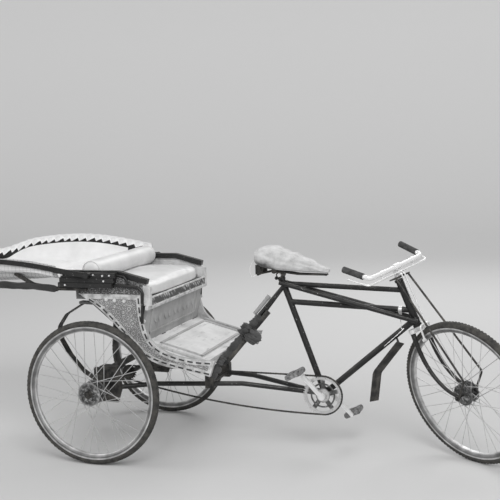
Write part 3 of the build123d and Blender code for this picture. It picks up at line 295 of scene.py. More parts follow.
def old_board(name, light, dark, along):
    """Painted board whose paint is worn thin along the grain, with stains."""
    material, tree, shader = new_finish(name, light, 0.6)
    grain = cloud(tree, 0.03, 6, along, 0.62)
    stains = steps(tree, cloud(tree, 0.14, 6), (0.33, 0.78), (0.62, 1.0))
    coat = steps(tree, grain, (0.28, dark), (0.44, light), (0.9, light * 1.06))
    paint(tree, shader, blend_of(tree, 1.0, coat, stains, "MULTIPLY"))
    mottle(tree, shader, 0.05, 4, 0.45, 0.75)
    relief(tree, shader, grain, 0.25, 0.0008)
    return material


def smooth_vinyl(name, color):
    """Light vinyl with a soft shine, faint grime and small creases."""
    material, tree, shader = new_finish(name, color, 0.42, coat=0.15)
    grime = steps(tree, cloud(tree, 0.16, 6), (0.38, color * 0.86), (0.62, color))
    specks = steps(tree, cloud(tree, 0.004, 4, rough=0.8), (0.68, 1.0), (0.74, 0.72))
    paint(tree, shader, blend_of(tree, 1.0, grime, specks, "MULTIPLY"))
    mottle(tree, shader, 0.06, 3, 0.32, 0.55)
    relief(tree, shader, cloud(tree, 0.0025, 3, rough=0.6), 0.1, 0.0004)
    return material


def woven_cloth(name, color, thread=0.0016, stain=0.85):
    """Plain woven cloth: two crossed sets of threads with faint stains."""
    material, tree, shader = new_finish(name, color, 0.88, sheen=0.25)
    sets = []
    for direction in "XY":
        wave = tree.nodes.new("ShaderNodeTexWave")
        wave.wave_type = "BANDS"
        wave.bands_direction = direction
        wave.inputs["Scale"].default_value = 1 / thread / 6.3
        wave.inputs["Distortion"].default_value = 0.6
        tree.links.new(place(tree), wave.inputs["Vector"])
        sets.append(wave.outputs["Fac"])
    weave = sums(tree, "MULTIPLY", *sets)
    stains = steps(tree, cloud(tree, 0.14, 6), (0.35, color * stain), (0.62, color))
    threads = steps(tree, weave, (0.0, 0.88), (0.6, 1.0))
    paint(tree, shader, blend_of(tree, 1.0, stains, threads, "MULTIPLY"))
    relief(tree, shader, weave, 0.2, 0.0004)
    return material


CHECK_PITCH = 0.021
CHECK_LINE = 0.25


def checked_cloth(name, color):
    """Light cloth with a grid of thin darker lines."""
    material, tree, shader = new_finish(name, color, 0.8, sheen=0.2)
    stains = steps(tree, cloud(tree, 0.1, 6), (0.35, color * 0.8), (0.65, color))
    faint = sums(tree, "MULTIPLY", thread_grid(tree, CHECK_PITCH, 0.045), 0.6)
    paint(tree, shader, blend_of(tree, faint, stains, CHECK_LINE))
    relief(tree, shader, cloud(tree, 0.02, 5), 0.3, 0.003)
    return material


def lining_finish(name, color):
    """White cloth, with a faint grid of threads that shows on its underside."""
    material, tree, shader = new_finish(name, color, 0.85, sheen=0.15)
    geometry = tree.nodes.new("ShaderNodeNewGeometry")
    # the true normal points to the viewer, so it looks down only where the underside is seen
    under = sums(tree, "LESS_THAN", axes(tree, geometry.outputs["True Normal"])["Z"], 0.02)
    seen = sums(tree, "MULTIPLY", thread_grid(tree, CHECK_PITCH, 0.05), under)
    stains = steps(tree, cloud(tree, 0.16, 5), (0.34, color * 0.88), (0.60, color))
    faint = sums(tree, "MULTIPLY", seen, 0.65)
    paint(tree, shader, blend_of(tree, faint, stains, CHECK_LINE))
    relief(tree, shader, cloud(tree, 0.03, 5), 0.25, 0.003)
    return material


def pressed_flowers(name, low, high, petal=0.026):
    """Painted sheet pressed with small flowers, worn on the high spots."""
    material, tree, shader = new_finish(name, high, 0.5)
    cells = tree.nodes.new("ShaderNodeTexVoronoi")
    cells.inputs["Scale"].default_value = 1 / petal
    cells.inputs["Randomness"].default_value = 0.6
    tree.links.new(place(tree), cells.inputs["Vector"])
    rings = sums(tree, "SINE", sums(tree, "MULTIPLY", cells.outputs["Distance"], 21.0), 0.0)
    broken = sums(tree, "MULTIPLY", rings, steps(tree, cloud(tree, 0.007, 3), (0.40, 0.05), (0.60, 1.0)))
    petals = steps(tree, broken, (0.05, low), (0.55, high))
    stains = steps(tree, cloud(tree, 0.07, 6), (0.32, 0.62), (0.66, 1.0))
    paint(tree, shader, blend_of(tree, 1.0, petals, stains, "MULTIPLY"))
    relief(tree, shader, broken, 0.5, 0.002)
    return material


FRAME_PAINT = worn_paint("frame_paint", 0.009, (0.11, 0.105, 0.095), 0.28)
DARK_IRON = greasy_iron("dark_iron", 0.02)
BRIGHT_STEEL = plated_steel("bright_steel", 0.92, 0.30, 0.6, 0.72)
BAR_STEEL = new_finish("bar_steel", 0.86, 0.26, metallic=0.25, coat=0.4)[0]
TYRE_RUBBER = dusty_rubber("tyre_rubber", 0.020, (0.095, 0.09, 0.08))
BLACK_RUBBER = dusty_rubber("black_rubber", 0.03, 0.10)
SEAT_VINYL = smooth_vinyl("seat_vinyl", 0.74)
LINING = woven_cloth("lining", 0.90)
FRILL_CLOTH = woven_cloth("frill_cloth", 0.97, 0.0016, 0.94)
COVER_CLOTH = checked_cloth("cover_cloth", 0.72)
LINING_CHECK = lining_finish("lining_sheet", 0.80)
# dark cloth for the rolls on the rest rail, and painted shadow for the sheet behind the frill
DARK_CLOTH_AND_SHADOW = woven_cloth("dark_cloth_and_shadow", 0.035, 0.002, 0.5)
FLOOR_PAINT = old_board("floor_paint", 0.70, 0.42, (1.6, 0.3, 1.6))
RISER_PAINT = old_board("riser_paint", 0.42, 0.23, (0.6, 1.6, 0.25))
MOULDING_PAINT = old_board("moulding_paint", 0.42, 0.24, (1.2, 0.6, 1.2))
RAG_CLOTH = woven_cloth("rag_cloth", 0.085, 0.002, 0.4)
GREY_TUBE = worn_paint("grey_tube", 0.30, 0.36, 0.45, 0.60, 0.12)
RAW_WOOD = old_board("raw_wood", 0.16, 0.07, (1, 0.2, 1))
BLOCK_PAINT = worn_paint("block_paint", 0.014, (0.10, 0.095, 0.09), 0.45, 0.62, 0.16)


def distance_from(tree, centre):
    """How far a point is from a centre, in metres."""
    away = tree.nodes.new("ShaderNodeVectorMath")
    away.operation = "DISTANCE"
    tree.links.new(place(tree), away.inputs[0])
    away.inputs[1].default_value = centre
    return away.outputs["Value"]


RIM_FROM = 0.300
RIM_BANDS = ((0.0, 0.62), (0.12, 0.78), (0.30, 0.30), (0.62, 0.22), (0.72, 0.66), (0.9, 0.70))


def wheel_finish(name, hub):
    """A plated wheel whose hub is greasy and whose rim is dusty outside its bright edge."""
    material = plated_steel(name, 0.62, 0.36, 0.6)
    tree, shader, plated = coat_on(material)
    away = distance_from(tree, hub)
    grease = steps(tree, cloud(tree, 0.016, 6, rough=0.7), (0.38, 0.03), (0.52, 0.12), (0.66, 0.5))
    near_hub = steps(tree, away, (0.056, 1.0), (0.075, 0.0))
    rim_dust = steps(tree, cloud(tree, 0.05, 5), (0.35, 0.5), (0.65, 1.0))
    out = sums(tree, "MULTIPLY", sums(tree, "SUBTRACT", away, RIM_FROM), 30.0)
    bands = steps(tree, out, *RIM_BANDS)
    on_rim = steps(tree, away, (RIM_FROM, 0.0), (RIM_FROM + 0.004, 1.0))
    rimmed = blend_of(tree, on_rim, plated, blend_of(tree, 1.0, bands, rim_dust, "MULTIPLY"))
    paint(tree, shader, blend_of(tree, near_hub, rimmed, grease))
    return material


def ring_finish():
    """The chainring: bright teeth and bosses, with old grease between them."""
    material = plated_steel("ring_steel", 0.66, 0.34)
    tree, shader, plated = coat_on(material)
    away = distance_from(tree, CRANK)
    grease = steps(tree, cloud(tree, 0.014, 5, rough=0.65), (0.42, 0.025), (0.56, 0.10), (0.68, 0.42))
    between = steps(tree, away, (0.030, 0.0), (0.036, 0.9), (0.074, 0.9), (0.082, 0.0))
    paint(tree, shader, blend_of(tree, between, plated, grease))
    return material


def body_finish(name, field, inside, raised_from, white_from=9.0):
    """Pressed flowers outside, plain paint inside, worn light paint on the raised border."""
    border = 0.62
    material = pressed_flowers(name, *field)
    tree, shader, flowers = coat_on(material)
    spot = axes(tree)
    away = sums(tree, "ABSOLUTE", spot["Y"], 0.0)
    raised = sums(tree, "GREATER_THAN", away, raised_from)
    worn = steps(tree, cloud(tree, 0.03, 6), (0.34, border * 0.5), (0.56, border), (0.8, border * 1.15))
    outer = blend_of(tree, raised, flowers, worn)
    plain = steps(tree, cloud(tree, 0.06, 6), (0.34, inside * 0.66), (0.62, inside))
    inner = sums(tree, "LESS_THAN", away, BODY_HALF - 0.0006)
    front = sums(tree, "GREATER_THAN", spot["X"], white_from)
    plain_side = sums(tree, "MAXIMUM", inner, front)
    paint(tree, shader, blend_of(tree, plain_side, outer, plain))
    return material


PANEL_PAINT = body_finish("panel_paint", (0.24, 0.60, 0.026), 0.48, BODY_HALF + 0.0006)
WING_PAINT = body_finish("wing_paint", (0.09, 0.42, 0.021), 0.72, BODY_HALF + 0.02, AXLE_X + 0.252)


def skirt_finish():
    """The board under the seat's edge: a band of carved slanting leaves over a white bead, with painted
    highlights on the raised leaves and painted shade in the hollows between them.
    """
    material, tree, shader = new_finish("skirt_paint", 0.4, 0.6)
    leaves = tree.nodes.new("ShaderNodeTexVoronoi")
    leaves.inputs["Scale"].default_value = 1.0
    leaves.inputs["Randomness"].default_value = 0.55
    sized = tree.nodes.new("ShaderNodeMapping")
    sized.inputs["Scale"].default_value = (1 / 0.026, 1 / 0.036, 1.0)
    spot = axes(tree)
    slant = tree.nodes.new("ShaderNodeCombineXYZ")
    tree.links.new(sums(tree, "ADD", spot["Y"], spot["Z"]), slant.inputs[0])
    tree.links.new(spot["Z"], slant.inputs[1])
    tree.links.new(slant.outputs[0], sized.inputs["Vector"])
    tree.links.new(sized.outputs["Vector"], leaves.inputs["Vector"])
    blade = steps(tree, leaves.outputs["Distance"], (0.22, 1.0), (0.55, 0.0))
    rough = steps(tree, cloud(tree, 0.008, 3), (0.3, 0.4), (0.6, 1.0))
    carved = sums(tree, "MULTIPLY", blade, rough)
    # painted highlight and shade: the colour follows the carving's height, light on the raised leaves and
    # dark in the hollows
    band = steps(tree, carved, (0.05, 0.07), (0.45, 0.22), (0.9, 0.58))
    low = sums(tree, "LESS_THAN", spot["Z"], 0.7755)
    top = sums(tree, "GREATER_THAN", spot["Z"], 0.809)
    plain = sums(tree, "MAXIMUM", low, top)
    worn = steps(tree, cloud(tree, 0.03, 6), (0.34, 0.42), (0.58, 0.72))
    paint(tree, shader, blend_of(tree, plain, band, worn))
    height = sums(tree, "MULTIPLY", carved, sums(tree, "SUBTRACT", 1.0, plain))
    relief(tree, shader, height, 0.6, 0.003)
    return material


SKIRT_PAINT = skirt_finish()

FINISHES = {
    # CAD nodes by finish
    FRAME_PAINT: (
        "chassis_rails", "head_tube", "top_tube", "middle_tube", "slant_tubes", "down_tube", "seat_tube",
        "seat_stays", "fork_blades", "arm_stays", "arm_bars", "hood_bow_front", "hood_bow_middle",
        "hood_bow_rear",
    ),
    DARK_IRON: (
        "rear_axle", "axle_brackets", "chassis_ties", "joint_blocks", "c_springs", "spring_straps",
        "fork_rods", "saddle_frame", "mud_flap", "chain", "hood_rest", "pump",
    ),
    BRIGHT_STEEL: ("fork_crown", "crank_arms"),
    BAR_STEEL: ("handlebar", "brake_gear"),
    ring_finish(): ("chainring",),
    wheel_finish("front_wheel_steel", FRONT_HUB): ("front_wheel",),
    wheel_finish("right_wheel_steel", RIGHT_HUB): ("rear_right_wheel",),
    wheel_finish("left_wheel_steel", LEFT_HUB): ("rear_left_wheel",),
    BLACK_RUBBER: ("grips",),
    dusty_rubber("pedal_rubber", 0.05, 0.42, 0.014): ("pedal_left", "pedal_right"),
    TYRE_RUBBER: ("front_tyre", "rear_left_tyre", "rear_right_tyre"),
    PANEL_PAINT: ("side_panel_left", "side_panel_right"),
    WING_PAINT: ("seat_wings",),
    RISER_PAINT: ("seat_riser",),
    SKIRT_PAINT: ("seat_skirt",),
    FLOOR_PAINT: ("floor_board", "floor_panel", "toe_board"),
    RAW_WOOD: ("seat_box_bottom", "seat_plank", "back_board", "body_runners"),
    BLOCK_PAINT: ("hood_blocks",),
    SEAT_VINYL: ("seat_cushion", "back_roll", "saddle"),
    LINING: ("hood_frill", "hood_back_panel"),
    COVER_CLOTH: ("hood_canopy_rear", "hood_canopy_front"),
}
for finish, names in FINISHES.items():
    for name in names:
        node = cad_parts[name]
        node.data.materials.clear()
        node.data.materials.append(finish)


def piece(name, bm, finish, body, smooth=True):
    """A finished mesh as an object of the frame, riding on a body."""
    bmesh.ops.recalc_face_normals(bm, faces=bm.faces)
    mesh = bpy.data.meshes.new(name)
    bm.to_mesh(mesh)
    bm.free()
    for polygon in mesh.polygons:
        polygon.use_smooth = smooth
    mesh.materials.append(finish)
    obj = bpy.data.objects.new(name, mesh)
    bpy.context.scene.collection.objects.link(obj)
    if body:
        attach(obj, body)
    return obj


def put(bm, verts, spot, size=EVEN, turned=Matrix.Identity(3)):
    """Scale and turn new points about the origin, then move them to their place."""
    bmesh.ops.scale(bm, vec=size, verts=verts)
    bmesh.ops.rotate(bm, cent=(0, 0, 0), matrix=turned, verts=verts)
    bmesh.ops.translate(bm, vec=spot, verts=verts)


def block(bm):
    """A new cube, one metre wide, about the origin."""
    return bmesh.ops.create_cube(bm, size=1)["verts"]


def drum(bm, sides, radius, depth, top=1.0):
    """A new closed cylinder along Z about the origin; top is its upper radius as a share."""
    return bmesh.ops.create_cone(
        bm, cap_ends=True, segments=sides, radius1=radius, radius2=radius * top, depth=depth
    )["verts"]


def full_turn(bm, parts, axis, count):
    """Spin parts once round an axis through the origin and close the seam."""
    bmesh.ops.spin(bm, geom=parts, cent=(0, 0, 0), axis=axis, angle=2 * pi, steps=count, use_merge=True)
    bmesh.ops.remove_doubles(bm, verts=bm.verts, dist=1e-6)


def lathe(bm, outline, place_on, count):
    """Turn an outline of (radius, forth) points about the Z axis and put the form in its place."""
    turned = bmesh.new()
    points = [turned.verts.new((radius, 0, forth)) for radius, forth in outline]
    edges = [turned.edges.new(pair) for pair in zip(points, points[1:])]
    full_turn(turned, points + edges, UP, count)
    bmesh.ops.transform(turned, matrix=place_on, verts=turned.verts)
    mesh = bpy.data.meshes.new("turned")
    turned.to_mesh(mesh)
    turned.free()
    start = len(bm.verts)
    bm.from_mesh(mesh)
    bpy.data.meshes.remove(mesh)
    bm.verts.ensure_lookup_table()
    return bm.verts[start:]


def along_line(start, end):
    """The matrix that takes the Z axis to a line from start to end."""
    aim = UP.rotation_difference(end - start)
    return Matrix.Translation(start) @ aim.to_matrix().to_4x4()


# Tyres: a round section spun about the hub, with tread blocks


def wheel_place(hub, axle):
    """The matrix that takes a wheel turned about Y at the origin to its hub."""
    side = axle.normalized()
    across = side.cross(UP).normalized()
    up = across.cross(side)
    turned = Matrix((across, side, up)).transposed().to_4x4()
    return Matrix.Translation(hub) @ turned


TYRE_HIGH = 0.0175
TYRE_WIDE = 0.018
KNOB_LONG = 0.010
# count in a row, height, width, and each row's place to the side and shift along
BIG_KNOBS = (120, 0.0035, 0.0085, ((-0.0078, 0), (0.0078, 0.5)))
SMALL_KNOBS = (96, 0.0018, 0.0042, ((-0.0095, 0), (-0.0032, 0.5), (0.0032, 0), (0.0095, 0.5)))


def tyre(name, hub, axle, body, knobs):
    """A round tyre with rows of knobs for its tread."""
    bm = bmesh.new()
    for vert in bmesh.ops.create_circle(bm, segments=20, radius=1)["verts"]:
        vert.co = Vector((TYRE_R - 0.0185 + vert.co.x * TYRE_HIGH, vert.co.y * TYRE_WIDE, 0))
    full_turn(bm, list(bm.edges), TO_LEFT, 112)
    count, height, width, rows = knobs
    for side, shift in rows:
        drop = TYRE_HIGH - TYRE_HIGH * sqrt(1 - (side / TYRE_WIDE) ** 2)
        for index in range(count):
            knob = block(bm)
            put(bm, knob, (TYRE_R - 0.001 - drop - height, side, 0), (height * 2, width, KNOB_LONG))
            angle = 2 * pi / count * (index + shift)
            bmesh.ops.rotate(bm, cent=(0, 0, 0), matrix=Matrix.Rotation(angle, 3, "Y"), verts=knob)
    bmesh.ops.transform(bm, matrix=wheel_place(hub, axle), verts=bm.verts)
    obj = piece(name, bm, TYRE_RUBBER, body, smooth=False)
    # the knobs' small faces stay flat
    for polygon in obj.data.polygons:
        polygon.use_smooth = polygon.area > 2.2e-5
    return obj


WHEELS = (
    # name, hub, axle, body, node, knobs
    ("tyre_front", FRONT_HUB, LEFT, "front_wheel", "front_tyre", BIG_KNOBS),
    ("tyre_rear_right", RIGHT_HUB, TO_LEFT, "drive_axle", "rear_right_tyre", SMALL_KNOBS),
    ("tyre_rear_left", LEFT_HUB, TO_LEFT, "left_wheel", "rear_left_tyre", SMALL_KNOBS),
)
for name, hub, axle, body, node, knobs in WHEELS:
    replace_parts(tyre(name, hub, axle, body, knobs), node)


# Seat cushion: a rounded block with a flat foot, swollen like cloth over padding


def rounded_block(low, high, cuts, square, flat_foot=False):
    """A cube grid pushed towards a rounded form, boxier with a higher square; a flat foot stays sharp."""
    bm = bmesh.new()
    bmesh.ops.create_cube(bm, size=2)
    bmesh.ops.subdivide_edges(bm, edges=bm.edges, cuts=cuts, use_grid_fill=True)
    for vert in bm.verts:
        x, y, z = vert.co
        sunk = flat_foot and z < 0
        reach = max(abs(x), abs(y), abs(z))
        size = (abs(x) ** square + abs(y) ** square + (0 if sunk else abs(z)) ** square) ** (1 / square)
        share = reach / max(size, 0.001)
        vert.co = (x * share, y * share, z if sunk else z * share)
    centre = (Vector(low) + Vector(high)) / 2
    half = (Vector(high) - Vector(low)) / 2
    for vert in bm.verts:
        vert.co = centre + Vector((vert.co.x * half.x, vert.co.y * half.y, vert.co.z * half.z))
    return bm


SWELL_GRID = 0.006
SWELL_PRESSURE = 4.0
SWELL_FRAMES = 20


def puff(obj, cap):
    """Swell a soft piece with cloth under pressure, no further than cap, and keep the result."""
    bpy.context.view_layer.objects.active = obj
    for other in bpy.context.selected_objects:
        other.select_set(False)
    obj.select_set(True)
    obj.data.remesh_voxel_size = SWELL_GRID
    bpy.ops.object.voxel_remesh()
    before = [vert.co.copy() for vert in obj.data.vertices]
    cloth = obj.modifiers.new("swell", "CLOTH")
    cloth.settings.use_pressure = True
    cloth.settings.uniform_pressure_force = SWELL_PRESSURE
    cloth.settings.effector_weights.gravity = 0
    cloth.settings.quality = 5
    for step in range(1, SWELL_FRAMES + 1):
        bpy.context.scene.frame_set(step)
    swollen = obj.evaluated_get(bpy.context.evaluated_depsgraph_get()).data
    after = [vert.co.copy() for vert in swollen.vertices]
    obj.modifiers.remove(cloth)
    bpy.context.scene.frame_set(1)
    for vert, old, new in zip(obj.data.vertices, before, after):
        move = new - old
        if move.length > cap:
            move = move * (cap / move.length)
        vert.co = old + move
    for polygon in obj.data.polygons:
        polygon.use_smooth = True


CUSHION_BACK = -0.094
CUSHION_DEEP = 0.376
CUSHION_HALF = 0.350
CUSHION_LOW = at(CUSHION_BACK, -CUSHION_HALF, SEAT_TOP_Z + 0.0035)
CUSHION_HIGH = at(CUSHION_BACK + CUSHION_DEEP, CUSHION_HALF, SEAT_TOP_Z + 0.064)
bm = rounded_block(CUSHION_LOW, CUSHION_HIGH, 19, 6, flat_foot=True)
for vert in bm.verts:
    # the top is crowned and slack, and the front edge rolls down
    across = vert.co.y / CUSHION_HALF
    ahead = (vert.co.x - AXLE_X - CUSHION_BACK) / CUSHION_DEEP
    upper = max(0, (vert.co.z - SEAT_TOP_Z) / 0.06)
    crown = (1 - across**2) * max(0, 4 * ahead * (1 - ahead)) * 0.012
    crease = rumple(ahead * 2.4, across * 3.2, 0.7) * 0.005
    vert.co.z += (crown + crease - 0.010 * max(0, ahead - 0.55) ** 2 * 4) * upper
cushion = piece("cushion", bm, SEAT_VINYL, "frame")
puff(cushion, 0.010)
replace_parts(cushion, "seat_cushion")

# Bolster: a turned roll with domed ends, a little lumpy, and piping round its ends
ROLL_X = -0.044
ROLL_Z = SEAT_TOP_Z + 0.0045 + 0.066 + 0.054
ROLL_HALF = 0.347
ROLL_R = 0.0515
ROLL_END = [(0.0, 0.0), (0.022, 0.0012), (0.036, 0.005), (0.0455, 0.012), (0.0502, 0.023)]
DOME = 0.023
ROLL_ROWS = 30
PIPING_R = 0.0034
PIPING_OUT = 0.0460
PIPING_IN = 0.012
bm = bmesh.new()
outline = list(ROLL_END)
for step in range(1, ROLL_ROWS):
    outline.append((ROLL_R, DOME + (2 * ROLL_HALF - 2 * DOME) * step / ROLL_ROWS))
outline += [(radius, 2 * ROLL_HALF - forth) for radius, forth in reversed(ROLL_END)]
foot = at(ROLL_X, -ROLL_HALF, ROLL_Z)
lathe(bm, outline, along_line(foot, foot + TO_LEFT * 2 * ROLL_HALF), 44)
for vert in bm.verts:
    out = Vector((vert.co.x - foot.x, 0, vert.co.z - foot.z))
    lump = rumple(vert.co.x * 9, vert.co.y * 5, vert.co.z * 9) * 0.0028
    if out.length > 0.04:
        vert.co += out.normalized() * lump
roll = piece("bolster", bm, SEAT_VINYL, "frame")
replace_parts(roll, "back_roll")

bm = bmesh.new()
for side in (-1, 1):
    ring = bmesh.ops.create_circle(bm, segments=10, radius=PIPING_R)["verts"]
    for vert in ring:
        vert.co = Vector((PIPING_OUT + vert.co.x, side * (ROLL_HALF - PIPING_IN) + vert.co.y, 0))
    full_turn(bm, [edge for edge in bm.edges if edge.verts[0] in ring], TO_LEFT, 56)
bmesh.ops.translate(bm, vec=at(ROLL_X, 0, ROLL_Z), verts=bm.verts)
piece("bolster_piping", bm, SEAT_VINYL, "frame")


def saddle_finish():
    """Worn light cloth over the saddle, darker low down and behind, with darker patches."""
    material, tree, shader = new_finish("saddle_cover", 0.5, 0.75, sheen=0.1)
    spot = axes(tree)
    low = sums(tree, "MULTIPLY", sums(tree, "SUBTRACT", SADDLE.z + 0.024, spot["Z"]), 20.0)
    behind = sums(tree, "MULTIPLY", sums(tree, "SUBTRACT", SADDLE.x + 0.04, spot["X"]), 12.0)
    # the colour darkens below a set height and towards the rear
    darker_low_behind = sums(tree, "MULTIPLY", sums(tree, "MAXIMUM", low, 0.0), sums(tree, "MINIMUM", behind, 1.0))
    patches = sums(tree, "MULTIPLY", cloud(tree, 0.035, 6, rough=0.6), 0.95)
    patches_and_darkening = sums(tree, "ADD", sums(tree, "MAXIMUM", darker_low_behind, 0.0), patches)
    shade = steps(tree, patches_and_darkening, (0.30, 0.66), (0.55, 0.52), (0.8, 0.26), (1.0, 0.09))
    paint(tree, shader, shade)
    relief(tree, shader, cloud(tree, 0.012, 5, (1, 1, 2.2)), 0.5, 0.003)
    return material


# Saddle: a padded form that is wide behind and narrow in front
SADDLE_FORM = (
    # forward, half width, top, underside
    (-0.101, 0.074, 0.050, -0.008),
    (-0.084, 0.097, 0.070, -0.018),
    (-0.055, 0.107, 0.079, -0.026),
    (-0.006, 0.106, 0.076, -0.034),
    (0.045, 0.086, 0.061, -0.040),
    (0.095, 0.058, 0.043, -0.045),
    (0.160, 0.034, 0.017, -0.049),
    (0.276, 0.021, -0.025, -0.056),
)
SADDLE_BACK = -0.102
SADDLE_LONG = 0.380


def form_at(forward):
    """Half width, top and underside of the saddle at one place along it."""
    for (x0, *low), (x1, *high) in zip(SADDLE_FORM, SADDLE_FORM[1:]):
        if forward <= x1:
            share = eased(limited((forward - x0) / (x1 - x0)))
            return [a + (b - a) * share for a, b in zip(low, high)]
    return SADDLE_FORM[-1][1:]


bm = rounded_block((-1, -1, -1), (1, 1, 1), 27, 4.4)
for vert in bm.verts:
    forward = SADDLE_BACK + (vert.co.x + 1) / 2 * SADDLE_LONG
    half, top, under = form_at(forward)
    crease = rumple(forward * 16, vert.co.y * 2.0, vert.co.z * 2.6) * 0.005
    fold = rumple(forward * 46, vert.co.y * 5, vert.co.z * 5 + 4) * 0.0018
    z = under + (top - under) * (vert.co.z + 1) / 2 + (crease + fold) * (vert.co.z + 1) / 2
    tuck = 1 - 0.16 * max(0, -vert.co.z) ** 2
    vert.co = SADDLE + Vector((forward, (vert.co.y * half + crease * vert.co.y) * tuck, z))
saddle = piece("saddle_pad", bm, saddle_finish(), "frame")
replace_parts(saddle, "saddle")

# Hood cloth: sheets over the folded bows
BOW_SIDE = ((-0.430, 0.983), (-0.800, 0.962))
BOW_STEP = 0.009
BOW_BACK_STEP = 0.034
BOW_BACK = HOOD_BACK - 0.0057
CORNER = 0.060


def leg_height(x, drop):
    """Height of a bow's leg at a place along the vehicle, forward of the rear axle."""
    points = [(PIVOT_X, PIVOT_Z)] + [(px, pz + drop * px / HOOD_BACK) for px, pz in BOW_SIDE]
    points.append((-HOOD_BACK + CORNER, 0.892 - drop))
    x = min(x, PIVOT_X)
    for (x0, z0), (x1, z1) in zip(points, points[1:]):
        if x >= x1:
            break
    index = points.index((x0, z0))
    before = points[max(index - 1, 0)]
    after = points[min(index + 2, len(points) - 1)]
    t = min(1, (x - x0) / (x1 - x0))
    m0 = (z1 - before[1]) / (x1 - before[0]) * (x1 - x0)
    m1 = (after[1] - z0) / (after[0] - x0) * (x1 - x0) if index + 2 < len(points) else 0
    return (
        (2 * t**3 - 3 * t**2 + 1) * z0 + (t**3 - 2 * t**2 + t) * m0
        + (3 * t**2 - 2 * t**3) * z1 + (t**3 - t**2) * m1
    )


def hoop(share, inwards, drop, front_x):
    """Place and outward direction on a bow's hoop, from the right front end round to the left."""
    half = BLOCK_OUT + 0.024 - inwards * BOW_STEP
    back = BOW_BACK - inwards * BOW_BACK_STEP
    leg = back - CORNER + front_x
    bend = pi / 2 * CORNER
    cross = 2 * (half - CORNER)
    total = 2 * leg + 2 * bend + cross
    run = share * total
    if run > total / 2:
        spot, out = hoop(1 - share, inwards, drop, front_x)
        return Vector((spot.x, -spot.y, spot.z)), Vector((out.x, -out.y, 0))
    if run < leg:
        x, y, out = front_x - run, -half, Vector((0, -1, 0))
    elif run < leg + bend:
        angle = (run - leg) / CORNER
        x = -back + CORNER - CORNER * sin(angle)
        y = -half + CORNER - CORNER * cos(angle)
        out = Vector((-sin(angle), -cos(angle), 0))
    else:
        x, y, out = -back, -half + CORNER + (run - leg - bend), Vector((-1, 0, 0))
    return at(x, y, leg_height(x, drop)), out


def hoop_sheet(name, inwards, drop, start, end, lengths, rise, shape, finish, body, front_x=-0.062):
    """A sheet that follows a bow: shape(share, height) gives its offset out and up."""
    bm = bmesh.new()
    bmesh.ops.create_grid(bm, x_segments=lengths, y_segments=rise, size=0.5)
    for vert in bm.verts:
        share = start + (end - start) * (vert.co.x + 0.5)
        height = vert.co.y + 0.5
        spot, out = hoop(share, inwards, drop, front_x)
        outwards, up = shape(share, height)
        vert.co = spot + out * outwards + UP * up
    return piece(name, bm, finish, body)


FRILL_START = 0.36
TEETH = 37


def frill_shape(share, height):
    """White cloth with a sawtooth lower edge and a slightly scalloped top."""
    tooth = ((share - FRILL_START) / (1 - FRILL_START) * TEETH) % 1
    low = 0.015 + 0.022 * tooth
    top = 0.061 - 0.003 * (2 * tooth - 1) ** 2
    gather = 0.0024 * sin(2 * pi * tooth) * (1 - height)
    return 0.0042 + gather + 0.003 * sin(height * pi), low + (top - low) * height


def frill_shadow_shape(share, height):
    """Dark sheet that stands plainly behind the frill, as painted shadow under its teeth."""
    return 0.0095, 0.004 + 0.050 * height


frill = hoop_sheet(
    "frill", 0, 0, FRILL_START, 1.0, TEETH * 8, 6, frill_shape, FRILL_CLOTH, "front_bow"
)
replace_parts(frill, "hood_frill")
# a dark sheet behind the frill: painted shadow under its teeth
frill_shadow = hoop_sheet(
    "frill_shadow_sheet", 0, 0, FRILL_START, 1.0, 120, 2, frill_shadow_shape, DARK_CLOTH_AND_SHADOW, "front_bow"
)


def fold_shape(phase):
    """The shape of a folded cover, with its own waves and sag for each phase."""
    def shape(share, height):
        wave = 0.0010 * sin(height * 9 + phase) + 0.0006 * rumple(share * 40, height * 3, phase)
        sag = 0.008 * rumple(share * 14, phase, 0)
        return wave, -0.036 + 0.041 * height + sag * (1 - height)
    return shape


COVERS = (
    # name, steps inwards, drop, node, body
    ("cover_rear", 1.5, 0.033, "hood_canopy_rear", "middle_bow"),
    ("cover_front", 0.5, 0.011, "hood_canopy_front", "front_bow"),
)
for name, inwards, drop, node, body in COVERS:
    cover = hoop_sheet(
        name, inwards, drop, 0.0, 1.0, 240, 8, fold_shape(inwards), COVER_CLOTH, body, -0.205
    )
    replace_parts(cover, node)

# The lining: one slack sheet that hangs between the bows, from the bolster to the rear bow.
# Across, it runs up inside the bows on both sides; the belly lies on the rest rail.
LINING_HALF = 0.411
LINING_FRONT = -0.104
BELLY_Z = 0.884
LINING_BACK = BOW_BACK - 2 * BOW_BACK_STEP - 0.006
CREASES = (
    # forward and left of a crease's root and end, its width and height
    (-0.20, -0.24, -0.62, -0.02, 0.018, 0.036),
    (-0.19, -0.10, -0.50, 0.20, 0.022, 0.030),
    (-0.24, -0.33, -0.78, -0.26, 0.018, 0.026),
    (-0.20, 0.20, -0.66, 0.34, 0.026, 0.024),
    (-0.95, -0.20, -0.60, 0.10, 0.034, 0.022),
    (-0.99, 0.25, -0.70, 0.22, 0.026, 0.020),
)
SECTION = (
    # share of the way to the middle, in from the edge, down as a share of the depth
    (0.00, 0.000, -0.06),
    (0.10, 0.004, 0.30),
    (0.22, 0.024, 0.78),
    (0.34, 0.052, 0.97),
    (0.60, 0.140, 1.00),
    (1.00, LINING_HALF, 0.94),
)


def section_at(share):
    """How far in and how far down the lining is, from its edge to its middle."""
    for (s0, in0, down0), (s1, in1, down1) in zip(SECTION, SECTION[1:]):
        if share <= s1:
            t = (share - s0) / (s1 - s0)
            return in0 + (in1 - in0) * t, down0 + (down1 - down0) * t
    return SECTION[-1][1:]


